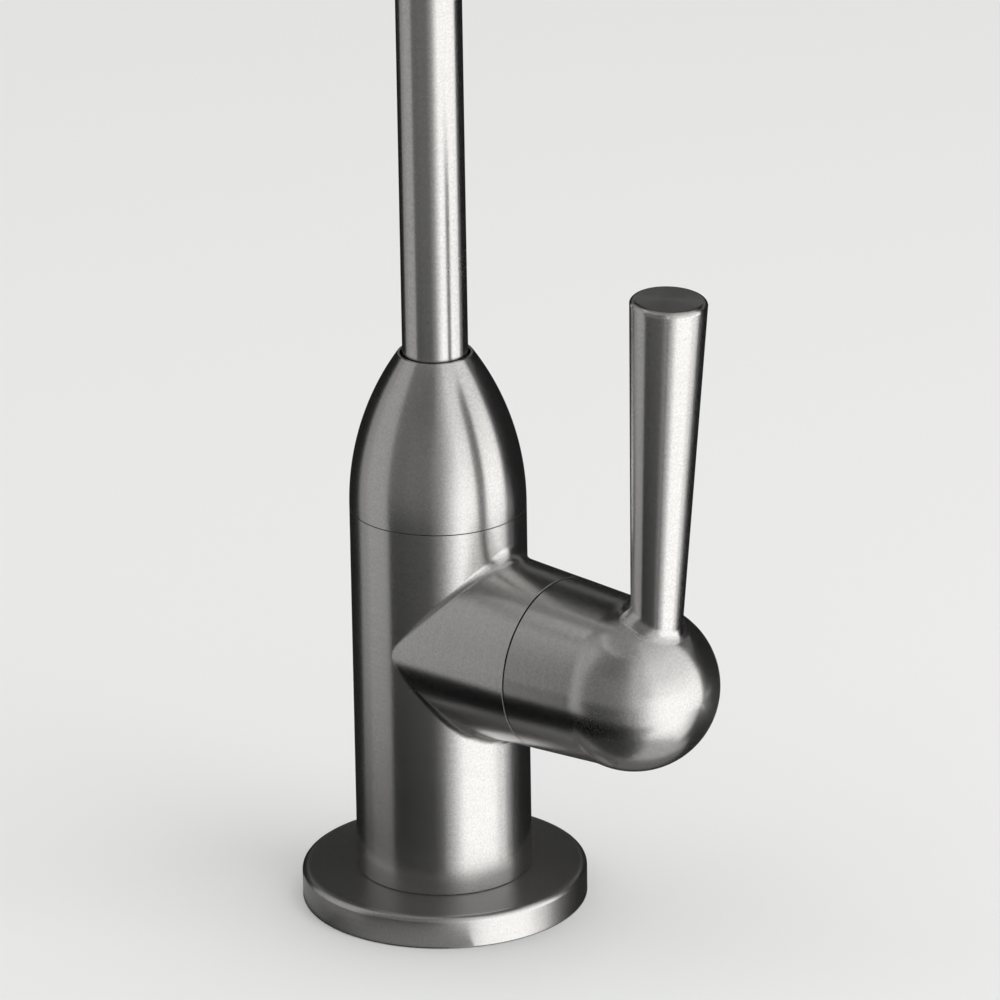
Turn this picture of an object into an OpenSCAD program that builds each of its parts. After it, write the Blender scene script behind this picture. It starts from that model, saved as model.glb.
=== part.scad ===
// Drinking water filter tap: a slim round pillar on a deck flange, with a swivelling
// swan-neck spout on top and a quarter-turn lever handle on a side boss.
// +Z runs up the pillar, +X out along the handle's hub, -Y towards the user. The origin
// is the centre of the flange's underside, on the worktop.

/* [Base flange] */
// Outer diameter of the flange
flange_d = 44; // [38:1:60]
// Thickness of the flange
flange_h = 5.1; // [4:0.1:8]
// Rounding of the flange's top edge
flange_edge_r = 0.9; // [0.3:0.1:2]
// Width of the flange's rim outside the gasket
flange_rim_w = 2.6; // [1.5:0.1:5]
// Thickness of the foam gasket let into the underside
gasket_t = 1.5; // [0.8:0.1:2.5]

/* [Body] */
// Diameter of the pillar
body_d = 27; // [26.5:0.5:32]
// Height of the seam between body and cap above the worktop
cap_seam_z = 64.3; // [62:0.1:75]
// Thread diameter of the neck that the cap screws onto
neck_d = 19; // [18:0.5:20]
// Height of the neck above the seam
neck_h = 10.2; // [8:0.1:11]
// Bore that brings water up from the tail
riser_bore_d = 5.5; // [4:0.5:6]
// Sideways offset of that bore from the pillar's axis
riser_offset = 6.5; // [6:0.1:7.5]
// Bore that takes water on to the spout
outlet_bore_d = 6; // [4:0.5:8]

/* [Handle boss] */
// Height of the handle's axis above the worktop
handle_z = 44; // [38:0.5:45]
// Distance from the pillar's axis to the boss's end face
boss_reach = 23.3; // [22:0.1:28]
// How much smaller than the body's radius the boss's radius is
boss_inset = 0.1; // [0.08:0.01:0.6]
// Draft of the boss's top and bottom, which makes its root taller than it is wide
boss_draft = 4.8; // [0:0.2:6]
// Radius of the fillet where the boss's crest grows out of the body
boss_fillet_r = 2.5; // [1.5:0.1:3.5]
// Radius of that fillet along the boss's upper flanks, where it is dressed finer
boss_flank_r = 0.9; // [0.5:0.1:2.5]
// Radius of that fillet under the boss's lowest line
boss_under_r = 1.6; // [0.8:0.1:2.5]

/* [Handle] */
// Seam between the boss and the turning hub
hub_gap = 0.3; // [0.2:0.05:0.6]
// Half angle of the hub's taper
hub_taper = 2.9; // [1:0.1:5]
// Length from the hub's face to the centre of the ball
hub_len = 14.5; // [13.5:0.1:18]
// Diameter of the ball end
ball_d = 25.84; // [25.6:0.1:28]
// Radius of the hollow blend between hub and ball
hub_blend_r = 4; // [3:0.5:20]
// How far past the ball's centre the lever's axis crosses the hub's axis
lever_offset = 3.8; // [2:0.1:5]
// Outward lean of the lever
lever_lean = 3.1; // [0:0.1:8]
// Length of the lever from the hub's axis
lever_len = 63.5; // [50:0.5:90]
// Diameter of the lever's cone carried down to the hub's axis
lever_root_d = 7; // [6:0.1:9]
// Diameter of the lever at its end
lever_end_d = 11.7; // [10:0.1:14]
// Rounding of the lever's end
lever_end_r = 0.9; // [0.3:0.1:2]
// Radius of the fillet at the lever's foot
lever_fillet_r = 2.6; // [1.5:0.1:4]
// Thread diameter of the grub screw under the hub
grub_d = 4; // [3:0.5:5]

/* [Cartridge] */
// Bore of the boss that takes the cartridge
cart_bore_d = 18; // [17.5:0.1:19]
// How far that bore runs past the pillar's axis
bore_past_axis = 4; // [3:0.1:4.5]
// Length of the chamber behind the cartridge
back_chamber_l = 5.5; // [5:0.1:6]
// Thickness of the rubber seal behind the discs
disc_seal_t = 2; // [1.5:0.1:2.5]
// Thickness of each ceramic disc
disc_t = 3; // [2.5:0.1:3.5]
// Angle of each opening in the discs
disc_port_a = 70; // [50:1:80]
// Water gap round the cartridge's barrel
barrel_gap = 1.1; // [0.8:0.1:1.4]
// Wall of the cartridge's barrel
barrel_wall = 1; // [0.8:0.1:1.3]
// Length of the cartridge's threaded seat in the boss
seat_l = 13.8; // [12:0.1:14]
// Across flats of the cartridge's hexagon
cart_hex_af = 18.2; // [18:0.1:18.6]
// Thickness of that hexagon
cart_hex_t = 2.6; // [2:0.1:3]
// Length of the cartridge's nose past the hexagon
nose_l = 3.5; // [3:0.1:4]
// Diameter of the nose
nose_d = 13; // [12:0.5:14]
// Diameter of the stem
stem_d = 8; // [7:0.5:9]
// Thickness of the clip that keeps the stem in
clip_t = 0.8; // [0.6:0.1:1]
// Length of the stem's splined end in the handle
spline_l = 9.3; // [8:0.1:10]

/* [Spout] */
// Outer diameter of the spout tube
tube_d = 10; // [9:0.5:11]
// Wall of the spout tube
tube_wall = 1; // [0.7:0.1:1.5]
// Distance from the pillar's axis to the outlet
spout_reach = 115; // [80:1:180]
// Height at which the swan neck starts to bend
spout_rise = 205; // [150:1:300]
// Straight length below the bend on the outlet side
spout_drop = 28; // [20:1:60]
// Outer diameter of the foot that turns in the body
foot_d = 13; // [12.6:0.1:14]
// Length of the foot inside the body
foot_l = 17.5; // [16:0.1:18]
// Depth of the tube's socket in the foot
tube_socket_l = 10.5; // [8:0.5:11]
// Thickness of the foot's collar
collar_t = 2; // [1.5:0.1:3]
// Height of the plastic bush above the collar
bush_h = 3.9; // [3:0.1:5]
// Wall of the outlet sleeve round the tube
nozzle_wall = 0.95; // [0.8:0.05:2]
// Length of the outlet sleeve
nozzle_l = 14; // [10:0.5:20]
// Diameter of the holes in the flow straightener
straightener_hole_d = 2.2; // [1:0.1:2.4]

/* [Spout cap] */
// Height of the cap above the seam
cap_h = 24.7; // [22:0.1:32]
// Straight part of the cap above the seam
cap_straight = 0.3; // [0:0.1:3]
// Width of the thin rim at the cap's top
cap_rim_w = 0.4; // [0.3:0.05:1]
// Gap between the cap's rim and the tube
cap_tube_gap = 0.35; // [0.3:0.05:0.6]

/* [Tail and clamp] */
// Thread diameter of the tail below the worktop
shank_d = 12; // [11:0.5:13]
// Length of the tail below the flange, without the inlet nose
shank_l = 44; // [40:1:80]
// Length of the plain spigot that centres the tap in the worktop
spigot_l = 8; // [4:0.5:8]
// Depth of the tail's threaded socket in the body
shank_socket_l = 11.9; // [10:0.1:12]
// Water bore of the tail
shank_bore_d = 5.5; // [4:0.1:6]
// Thickness of the worktop that the clamp is drawn on
deck_t = 20; // [4:1:24]
// Thickness of the rubber washer under the worktop
deck_washer_t = 3; // [2:0.1:4]
// Diameter of the rubber washer
deck_washer_d = 32; // [28:1:36]
// Thickness of the plastic locating washer
locator_t = 4; // [3:0.1:5]
// Thickness of the toothed lock washer
lock_washer_t = 1; // [0.6:0.1:1.2]
// Across flats of the mounting nut
nut_af = 22; // [20:0.5:24]
// Height of the mounting nut
nut_h = 7; // [6:0.5:7]

/* [Inlet] */
// Outer diameter of the water tube that plugs into the tail
inlet_tube_d = 6.35; // [6:0.05:6.4]
// Diameter of the tail's threaded inlet nose
inlet_nose_d = 11; // [10.5:0.1:11]
// Length of the inlet nose
inlet_nose_l = 10; // [9:0.5:12]
// Depth of the tube's socket
inlet_socket_l = 12; // [10:0.5:14]
// Across flats of the inlet nut
inlet_nut_af = 16; // [14.5:0.5:18]
// Length of the sealing sleeve
ferrule_l = 4.5; // [3.5:0.1:5]

/* [Clearances] */
// Radial clearance of the turning fits
turn_gap = 0.05; // [0.03:0.01:0.08]
// Radial clearance of the screwed fits
screw_gap = 0.05; // [0.03:0.01:0.1]
// Radial gap round pieces that pass through loosely
loose_gap = 0.3; // [0.3:0.05:0.6]
// End play of turning pieces
end_play = 0.05; // [0.03:0.01:0.1]

/* [Hidden] */
nickel = [0.72, 0.71, 0.69];
brass = [0.78, 0.62, 0.32];
rubber = [0.09, 0.09, 0.09];
ceramic = [0.9, 0.89, 0.85];
acetal = [0.86, 0.86, 0.84];
steel = [0.62, 0.63, 0.65];
over = 1;
groove_w = 2;
groove_depth = 1.3;
facets = 72;
arc_steps = 7;

// Radii of the body, the boss and the handle
body_r = body_d / 2;
boss_r = body_r - boss_inset;
ball_r = ball_d / 2;
shank_r = shank_d / 2;
// The thread's pitch radius stands for the thread
shank_thread_r = shank_r - 0.25;
tube_r = tube_d / 2;
foot_r = foot_d / 2;
stem_r = stem_d / 2;

// Stations along the handle's axis, from the seal behind the discs out to the stem's end
x_seat = -bore_past_axis;
x_fixed = x_seat + disc_seal_t;
x_moving = x_fixed + disc_t + end_play;
x_head = x_moving + disc_t;
head_t = 3;
stem_collar_t = 1.8;
x_collar = x_head + head_t;
x_shoulder = x_collar + stem_collar_t + end_play;
x_hex = boss_reach + cart_hex_t;
x_nose = x_hex + nose_l;
x_clip = x_nose + end_play;
x_cavity = x_clip + clip_t + 0.6;
x_stem_end = x_cavity + spline_l;
x_hub = boss_reach + hub_gap;
x_ball = x_hub + hub_len;
x_lever = x_ball + lever_offset;
chamber_r = cart_bore_d / 2 - barrel_gap - barrel_wall;
cavity_r = cart_hex_af / 2 / cos(30) + 0.5;

// Stations up the pillar's axis
z_socket_top = flange_h + shank_socket_l;
z_neck = cap_seam_z + neck_h;
z_foot_top = z_neck + end_play;
z_foot = z_foot_top - foot_l;
z_collar_top = z_foot_top + collar_t;
z_tube = z_collar_top - tube_socket_l;
z_bush = z_collar_top + end_play;
z_bush_top = z_bush + bush_h;
z_cap_top = cap_seam_z + cap_h;
z_tip = spout_rise - spout_drop;
z_nozzle = z_tip - nozzle_l * 0.4;
collar_r = foot_r + 1.5;

// Stations down the tail
z_tail = -shank_l;
z_nose_end = z_tail - inlet_nose_l;
z_washer = -deck_t;
z_locator = z_washer - deck_washer_t;
z_lock = z_locator - locator_t;
z_nut = z_lock - lock_washer_t;

// Middle heights of the foot's two ring grooves
groove_z_low = z_foot + 2.6;
groove_z_high = groove_z_low + groove_w + 1.2;

// Turns a shape made along +Z so that it lies along the handle's axis
module along_handle() {
    translate([0, 0, handle_z])
        rotate([0, 90, 0])
            children();
}

module ring(r_out, r_in, h) {
    difference() {
        cylinder(r = r_out, h = h, $fn = 96);
        translate([0, 0, -over])
            cylinder(r = r_in, h = h + 2 * over, $fn = 96);
    }
}

// Rubber ring squeezed flat between its groove's floor and the bore round it
module o_ring(r_in, r_out, w) {
    rotate_extrude($fn = 96)
        intersection() {
            translate([(r_in + r_out) / 2, 0])
                circle(d = w, $fn = 48);
            translate([r_in, -w])
                square([r_out - r_in, 2 * w]);
        }
}

module groove(r_out, floor_r, z) {
    translate([0, 0, z - groove_w / 2])
        ring(r_out + over, floor_r, groove_w);
}

module hexagon(af, h) {
    cylinder(r = af / 2 / cos(30), h = h, $fn = 6);
}

// Points between two unit vectors a and b, on the arc of radius r about c
function slerp(a, b, s) =
    let (w = acos(min(1, a * b)))
    w < 0.01 ? a : (sin((1 - s) * w) * a + sin(s * w) * b) / sin(w);
function arc_point(c, r, a, b, s) = c + r * slerp(a, b, s);
function unit(v) = v / norm(v);

// Triangles that close a stack of rings of n points, with a fan on each end
function stack_faces(rows, n) = concat(
    [for (i = [0 : rows - 2]) for (j = [0 : n - 1])
        [i * n + j, i * n + (j + 1) % n, (i + 1) * n + (j + 1) % n]],
    [for (i = [0 : rows - 2]) for (j = [0 : n - 1])
        [i * n + j, (i + 1) * n + (j + 1) % n, (i + 1) * n + j]],
    [for (j = [0 : n - 1]) [rows * n, (j + 1) % n, j]],
    [for (j = [0 : n - 1]) [rows * n + 1, (rows - 1) * n + j, (rows - 1) * n + (j + 1) % n]]);

// Boss: its section is a circle at the hub seam and grows into a tall oval at the body, most of all along its crest
boss_k = tan(boss_draft);
function boss_point(x, t) =
    [x, boss_r * sin(t), handle_z + (boss_r + boss_k * (boss_reach - x) * pow(cos(t), 2)) * cos(t)];
function boss_normal(x, t) =
    unit([boss_r * boss_k * pow(cos(t), 4), (boss_r + 3 * boss_k * (boss_reach - x) * pow(cos(t), 2)) * sin(t), boss_r * cos(t)]);
// The fillet runs from its crest radius through the finer flank radius to full width at the sides and below
function boss_fillet(t) =
    let (up = (1 + cos(t)) / 2, flank = pow(sin(2 * t), 2))
    up * (boss_fillet_r + (boss_flank_r - boss_fillet_r) * flank)
        + (1 - up) * (boss_under_r + (boss_fillet_r - boss_under_r) * flank);
function boss_ball(x, t) = boss_point(x, t) + boss_fillet(t) * boss_normal(x, t);
// Station at which a ball of the fillet's radius rests on the boss and on the body at once
function boss_touch(t, lo, hi, i) =
    let (m = (lo + hi) / 2, c = boss_ball(m, t))
    i == 0 ? m :
    norm([c.x, c.y]) > body_r + boss_fillet(t) ? boss_touch(t, lo, m, i - 1) : boss_touch(t, m, hi, i - 1);

module boss() {
    sink = 0.06;
    angles = [for (j = [0 : facets - 1]) (j + 0.5) * 360 / facets];
    touch = [for (t = angles) boss_touch(t, 0, body_r + boss_fillet(t), 40)];
    core = [for (t = angles) [1, (boss_r - 3) * sin(t), handle_z + (boss_r - 2) * cos(t)]];
    arcs = [for (s = [0 : arc_steps]) [for (j = [0 : facets - 1])
        let (t = angles[j],
             c = boss_ball(touch[j], t),
             to_body = -unit([c.x, c.y, 0]),
             to_boss = -boss_normal(touch[j], t))
        arc_point(c, boss_fillet(t), to_body, to_boss, s / arc_steps) + (s == 0 ? sink * to_body : [0, 0, 0])]];
    end = [for (t = angles) boss_point(boss_reach, t)];
    rows = arc_steps + 3;
    points = concat(core, [for (row = arcs) each row], end, [[1, 0, handle_z], [boss_reach, 0, handle_z]]);
    polyhedron(points = points, faces = stack_faces(rows, facets), convexity = 6);
}

module body() {
    color(nickel)
        difference() {
            union() {
                translate([0, 0, flange_h])
                    cylinder(r = body_r, h = cap_seam_z - flange_h, $fn = 128);
                translate([0, 0, cap_seam_z - over])
                    cylinder(d = neck_d, h = neck_h + over, $fn = 96);
                boss();
            }
            // Cartridge bore, with the water chamber behind it
            translate([x_seat, 0, 0])
                along_handle()
                    cylinder(d = cart_bore_d, h = boss_reach - x_seat + over, $fn = 96);
            translate([x_seat - back_chamber_l, 0, 0])
                along_handle()
                    cylinder(r = chamber_r - 1.4, h = back_chamber_l + over, $fn = 64);
            // Threaded socket for the tail, the pocket above it and the bore up to the chamber
            translate([0, 0, flange_h - over])
                cylinder(r = shank_thread_r + screw_gap, h = shank_socket_l + over, $fn = 64);
            translate([0, 0, z_socket_top - over])
                cylinder(r = shank_thread_r - 0.4, h = 3 + over, $fn = 64);
            translate([-riser_offset, 0, z_socket_top + 0.5])
                cylinder(d = riser_bore_d, h = handle_z - z_socket_top - 0.5, $fn = 48);
            // Outlet bore and the socket that the spout's foot turns in
            translate([1, 0, handle_z + cart_bore_d / 2 - 1.5])
                cylinder(d = outlet_bore_d, h = z_foot - handle_z - cart_bore_d / 2 + 2, $fn = 48);
            translate([0, 0, z_foot - 0.5])
                cylinder(r = foot_r + turn_gap, h = foot_l + 0.5 + over, $fn = 96);
        }
}

module base_flange() {
    flat_r = flange_d / 2 - flange_edge_r;
    color(nickel)
        difference() {
            rotate_extrude($fn = 128)
                union() {
                    square([flat_r, flange_h]);
                    square([flange_d / 2, flange_h - flange_edge_r]);
                    translate([flat_r, flange_h - flange_edge_r])
                        circle(r = flange_edge_r, $fn = 48);
                }
            translate([0, 0, -over])
                cylinder(r = flange_d / 2 - flange_rim_w, h = gasket_t + over, $fn = 96);
            translate([0, 0, -over])
                cylinder(r = shank_r + loose_gap, h = flange_h + 2 * over, $fn = 64);
        }
}

module base_gasket() {
    color(rubber)
        ring(flange_d / 2 - flange_rim_w - 0.1, shank_r + 2, gasket_t);
}

// Bullet-shaped cap: an arc that leaves the body tangent and ends at the rim round the tube
module spout_cap() {
    rim_r = tube_r + cap_tube_gap + cap_rim_w;
    rise = cap_h - cap_straight;
    drop = body_r - rim_r;
    ogive_r = (rise * rise + drop * drop) / (2 * drop);
    bush_r = collar_r + screw_gap;
    color(nickel)
        difference() {
            translate([0, 0, cap_seam_z])
                rotate_extrude($fn = 128)
                    union() {
                        square([body_r, cap_straight]);
                        intersection() {
                            translate([body_r - ogive_r, cap_straight])
                                circle(r = ogive_r, $fn = 360);
                            translate([0, cap_straight])
                                square([body_r + over, rise]);
                        }
                    }
            translate([0, 0, cap_seam_z - over])
                cylinder(r = neck_d / 2 + screw_gap, h = z_bush + 0.4 - cap_seam_z + over, $fn = 96);
            translate([0, 0, z_bush])
                cylinder(r = bush_r, h = bush_h, $fn = 96);
            translate([0, 0, z_bush])
                cylinder(r = tube_r + cap_tube_gap, h = z_cap_top - z_bush + over, $fn = 96);
        }
}

module spout_bush() {
    color(acetal)
        translate([0, 0, z_bush])
            ring(collar_r, tube_r + turn_gap, bush_h);
}

// Swan neck of radius r: riser, half-circle bend and drop
module swan_neck(r, extra) {
    translate([0, 0, z_tube - extra])
        cylinder(r = r, h = spout_rise - z_tube + extra, $fn = 64);
    translate([0, -spout_reach / 2, spout_rise])
        rotate([90, 0, 90])
            rotate_extrude(angle = 180, $fn = 144)
                translate([spout_reach / 2, 0])
                    circle(r = r, $fn = 64);
    translate([0, -spout_reach, z_tip - extra])
        cylinder(r = r, h = spout_drop + extra, $fn = 64);
}

module spout_tube() {
    color(nickel)
        difference() {
            swan_neck(tube_r, 0);
            swan_neck(tube_r - tube_wall, over);
        }
}

module spout_foot() {
    water_r = foot_r - groove_depth - 1.7;
    color(brass)
        difference() {
            union() {
                translate([0, 0, z_foot])
                    cylinder(r = foot_r, h = foot_l, $fn = 96);
                translate([0, 0, z_foot_top])
                    cylinder(r = collar_r, h = collar_t, $fn = 96);
            }
            translate([0, 0, z_foot - over])
                cylinder(r = water_r, h = foot_l + collar_t + 2 * over, $fn = 64);
            translate([0, 0, z_tube])
                cylinder(r = tube_r + screw_gap, h = tube_socket_l + over, $fn = 64);
            groove(foot_r, foot_r - groove_depth, groove_z_low);
            groove(foot_r, foot_r - groove_depth, groove_z_high);
        }
}

module spout_o_ring(z) {
    color(rubber)
        translate([0, 0, z])
            o_ring(foot_r - groove_depth + 0.02, foot_r, 1.8);
}
module spout_o_ring_upper() spout_o_ring(groove_z_high);
module spout_o_ring_lower() spout_o_ring(groove_z_low);

// Sleeve at the outlet, with a lip that keeps the straightener in
module outlet_nozzle() {
    sleeve_r = tube_r + screw_gap;
    lip_h = 1.2;
    color(nickel)
        translate([0, -spout_reach, z_nozzle])
            difference() {
                cylinder(r = sleeve_r + nozzle_wall, h = nozzle_l, $fn = 96);
                translate([0, 0, lip_h])
                    cylinder(r = sleeve_r, h = nozzle_l, $fn = 96);
                translate([0, 0, -over])
                    cylinder(r = tube_r - 0.6, h = lip_h + 2 * over, $fn = 96);
            }
}

module flow_straightener() {
    lip_h = 1.2;
    ring_r = (tube_r + straightener_hole_d / 2) / 2 + 0.1;
    h = z_tip - z_nozzle - lip_h;
    color(acetal)
        translate([0, -spout_reach, z_nozzle + lip_h])
            difference() {
                cylinder(r = tube_r - 0.05, h = h, $fn = 96);
                translate([0, 0, -over])
                    cylinder(d = straightener_hole_d, h = h + 2 * over, $fn = 32);
                for (a = [0 : 60 : 300])
                    rotate([0, 0, a])
                        translate([ring_r, 0, -over])
                            cylinder(d = straightener_hole_d, h = h + 2 * over, $fn = 32);
            }
}

// Half section of the hub and ball: a straight taper, a hollow blend and the ball
module hub_section() {
    k = tan(hub_taper);
    q = boss_r + hub_blend_r / cos(hub_taper);
    reach = ball_r + hub_blend_r;
    m = 1 + k * k;
    half_b = q * k + hub_len;
    h = (half_b - sqrt(half_b * half_b - m * (q * q + hub_len * hub_len - reach * reach))) / m;
    blend = [q - k * h, h];
    from_cone = blend - hub_blend_r * [cos(hub_taper), sin(hub_taper)];
    to_ball = blend + ([0, hub_len] - blend) * hub_blend_r / reach;
    difference() {
        polygon([[0, 0], [boss_r, 0], from_cone, to_ball, [0, to_ball.y]]);
        translate(blend)
            circle(r = hub_blend_r, $fn = 180);
    }
    intersection() {
        translate([0, hub_len])
            circle(r = ball_r, $fn = 180);
        translate([0, to_ball.y])
            square([ball_r + over, hub_len - to_ball.y + ball_r + over]);
    }
}

// Lever: a cone that widens towards a flat end with a rounded edge
lever_k = (lever_end_d - lever_root_d) / 2 / lever_len;
lever_dir = [sin(lever_lean), 0, cos(lever_lean)];
lever_side = [cos(lever_lean), 0, -sin(lever_lean)];
lever_base = [x_lever, 0, handle_z];
ball_centre = [x_ball, 0, handle_z];
function lever_r(s) = lever_root_d / 2 + lever_k * s;
function lever_out(a) = cos(a) * lever_side + sin(a) * [0, 1, 0];
function lever_normal(a) = unit(lever_out(a) - lever_k * lever_dir);
function lever_ball(s, a) =
    lever_base + s * lever_dir + lever_r(s) * lever_out(a) + lever_fillet_r * lever_normal(a);
// Height along the lever at which the fillet's ball rests on the lever and on the ball end
function lever_touch(a, lo, hi, i) =
    let (m = (lo + hi) / 2)
    i == 0 ? m :
    norm(lever_ball(m, a) - ball_centre) > ball_r + lever_fillet_r ?
        lever_touch(a, lo, m, i - 1) : lever_touch(a, m, hi, i - 1);

module lever_fillet() {
    sink = 0.06;
    n = 60;
    angles = [for (j = [0 : n - 1]) -(j + 0.5) * 360 / n];
    touch = [for (a = angles) lever_touch(a, 0, 40, 40)];
    core = [for (a = angles) ball_centre + [lever_offset, 0, ball_r - 6] + (lever_r(12) - 1) * lever_out(a)];
    arcs = [for (s = [0 : arc_steps]) [for (j = [0 : n - 1])
        let (a = angles[j],
             c = lever_ball(touch[j], a),
             to_ball = unit(ball_centre - c),
             to_lever = -lever_normal(a))
        arc_point(c, lever_fillet_r, to_ball, to_lever, s / arc_steps)
            + (s == 0 ? sink * to_ball : s == arc_steps ? sink * to_lever : [0, 0, 0])]];
    top = [for (j = [0 : n - 1])
        lever_base + (touch[j] + 2) * lever_dir + (lever_r(touch[j]) - 1) * lever_out(angles[j])];
    rows = arc_steps + 3;
    tip = lever_base + (touch[0] + 2) * lever_dir;
    low = ball_centre + [lever_offset, 0, ball_r - 6];
    points = concat(core, [for (row = arcs) each row], top, [low, tip]);
    polyhedron(points = points, faces = stack_faces(rows, n), convexity = 6);
}

module lever() {
    flat_r = lever_end_d / 2 - lever_end_r;
    translate(lever_base)
        rotate([0, lever_lean, 0])
            rotate_extrude($fn = 96)
                union() {
                    polygon([[0, 4], [lever_r(4), 4], [lever_r(lever_len - lever_end_r), lever_len - lever_end_r],
                             [flat_r, lever_len - lever_end_r], [flat_r, lever_len], [0, lever_len]]);
                    intersection() {
                        translate([flat_r, lever_len - lever_end_r])
                            circle(r = lever_end_r, $fn = 48);
                        translate([0, lever_len - lever_end_r])
                            square([lever_end_d, lever_end_r + over]);
                    }
                }
}

module handle() {
    color(nickel)
        difference() {
            union() {
                translate([x_hub, 0, 0])
                    along_handle()
                        rotate_extrude($fn = 144)
                            hub_section();
                lever();
                lever_fillet();
            }
            // Cavity round the cartridge's hexagon, the splined socket and the grub screw's hole
            translate([x_hub - over, 0, 0])
                along_handle()
                    cylinder(r = cavity_r, h = x_cavity - x_hub + over, $fn = 96);
            translate([x_cavity - over, 0, 0])
                along_handle()
                    cylinder(r = stem_r - 0.05, h = spline_l + 0.3 + over, $fn = 64);
            translate([(x_cavity + x_stem_end) / 2, 0, handle_z - ball_r - over])
                cylinder(r = grub_d / 2 + screw_gap, h = ball_r + over, $fn = 48);
        }
}

module handle_grub_screw() {
    z_low = handle_z - ball_r + 1.6;
    color(steel)
        translate([(x_cavity + x_stem_end) / 2, 0, z_low])
            difference() {
                cylinder(d = grub_d, h = handle_z - stem_r - z_low, $fn = 48);
                translate([0, 0, -over])
                    hexagon(grub_d / 2, 2.2 + over);
            }
}

module cartridge_housing() {
    bore_r = cart_bore_d / 2;
    barrel_r = bore_r - barrel_gap;
    x_barrel = x_fixed - 0.2;
    x_thread = boss_reach - seat_l;
    color(brass)
        difference() {
            along_handle() {
                translate([0, 0, x_barrel])
                    cylinder(r = barrel_r, h = x_thread - x_barrel + over, $fn = 96);
                translate([0, 0, x_thread])
                    cylinder(r = bore_r - screw_gap, h = seat_l, $fn = 96);
                translate([0, 0, boss_reach])
                    hexagon(cart_hex_af, cart_hex_t);
                translate([0, 0, x_hex - over])
                    cylinder(d = nose_d, h = nose_l + over, $fn = 64);
            }
            along_handle() {
                translate([0, 0, x_barrel - over])
                    cylinder(r = chamber_r, h = x_shoulder - x_barrel + over, $fn = 96);
                translate([0, 0, x_barrel])
                    cylinder(r = stem_r + turn_gap, h = x_nose - x_barrel + over, $fn = 64);
                groove(bore_r - screw_gap, bore_r - screw_gap - groove_depth, x_thread + 1.2 + groove_w / 2);
            }
            // Windows above and below, where water leaves the barrel
            translate([x_head - 0.8, -3, handle_z - bore_r])
                cube([head_t + 0.8, 6, 2 * bore_r]);
        }
}

module cartridge_o_ring() {
    bore_r = cart_bore_d / 2;
    color(rubber)
        along_handle()
            translate([0, 0, boss_reach - seat_l + 1.2 + groove_w / 2])
                o_ring(bore_r - screw_gap - groove_depth + 0.02, bore_r - screw_gap, 1.8);
}

// Stem: a drive bar in the moving disc's slot, a collar, the sealed shaft and the splined end
module cartridge_stem() {
    bar_w = 5;
    slot_t = 1;
    color(brass)
        difference() {
            union() {
                intersection() {
                    along_handle()
                        translate([0, 0, x_head - slot_t + 0.1])
                            cylinder(r = chamber_r - 0.9, h = head_t + slot_t, $fn = 64);
                    translate([x_head - slot_t, -bar_w / 2, handle_z - cart_bore_d])
                        cube([head_t + slot_t + over, bar_w, 2 * cart_bore_d]);
                }
                along_handle() {
                    translate([0, 0, x_collar])
                        cylinder(r = stem_r + 1.4, h = stem_collar_t, $fn = 64);
                    translate([0, 0, x_collar])
                        cylinder(r = stem_r, h = x_cavity - x_collar, $fn = 64);
                    translate([0, 0, x_cavity - over])
                        cylinder(r = stem_r - 0.1, h = spline_l + over, $fn = 64);
                }
            }
            along_handle() {
                groove(stem_r, stem_r - groove_depth, x_shoulder + 4);
                translate([0, 0, x_clip])
                    ring(stem_r + over, stem_r - 0.7, clip_t);
            }
        }
}

module stem_o_ring() {
    color(rubber)
        along_handle()
            translate([0, 0, x_shoulder + 4])
                o_ring(stem_r - groove_depth + 0.02, stem_r, 1.8);
}

// Open spring clip pushed sideways into the stem's groove
module stem_clip() {
    color(steel)
        along_handle()
            translate([0, 0, x_clip])
                difference() {
                    ring(stem_r + 1.5, stem_r - 0.68, clip_t);
                    translate([0, -2.4, -over])
                        cube([stem_r + 2.5, 4.8, clip_t + 2 * over]);
                }
}

// Two sector openings facing each other, of the ports' angle
module disc_ports(turn) {
    port_r = chamber_r - 1.4;
    half = disc_port_a / 2;
    for (a = [turn, turn + 180])
        rotate([0, 0, a])
            translate([0, 0, -over])
                rotate([0, 0, -half])
                    rotate_extrude(angle = disc_port_a, $fn = 96)
                        translate([2, 0])
                            square([port_r - 2, disc_t + 2 * over]);
}

module moving_disc() {
    slot_w = 5.4;
    color(ceramic)
        along_handle()
            translate([0, 0, x_moving])
                difference() {
                    cylinder(r = chamber_r - loose_gap, h = disc_t, $fn = 96);
                    disc_ports(90);
                    translate([-chamber_r, -slot_w / 2, disc_t - 1])
                        cube([2 * chamber_r, slot_w, 1 + over]);
                }
}

module fixed_disc() {
    color(ceramic)
        along_handle()
            translate([0, 0, x_fixed])
                difference() {
                    cylinder(r = chamber_r - screw_gap, h = disc_t, $fn = 96);
                    disc_ports(0);
                }
}

module disc_seal() {
    color(rubber)
        along_handle()
            translate([0, 0, x_seat])
                ring(chamber_r - 0.1, chamber_r - 1.4, disc_seal_t);
}

module threaded_tail() {
    color(steel)
        difference() {
            union() {
                translate([0, 0, z_tail])
                    cylinder(r = shank_thread_r, h = z_socket_top - z_tail - 0.1, $fn = 64);
                translate([0, 0, -spigot_l])
                    cylinder(r = shank_r, h = spigot_l + flange_h - 0.1, $fn = 64);
                translate([0, 0, z_nose_end])
                    cylinder(d = inlet_nose_d, h = inlet_nose_l + over, $fn = 64);
            }
            translate([0, 0, z_nose_end - over])
                cylinder(d = shank_bore_d, h = z_socket_top - z_nose_end + 2 * over, $fn = 48);
            translate([0, 0, z_nose_end - over])
                cylinder(r = inlet_tube_d / 2 + screw_gap, h = inlet_socket_l + over, $fn = 64);
        }
}

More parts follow.
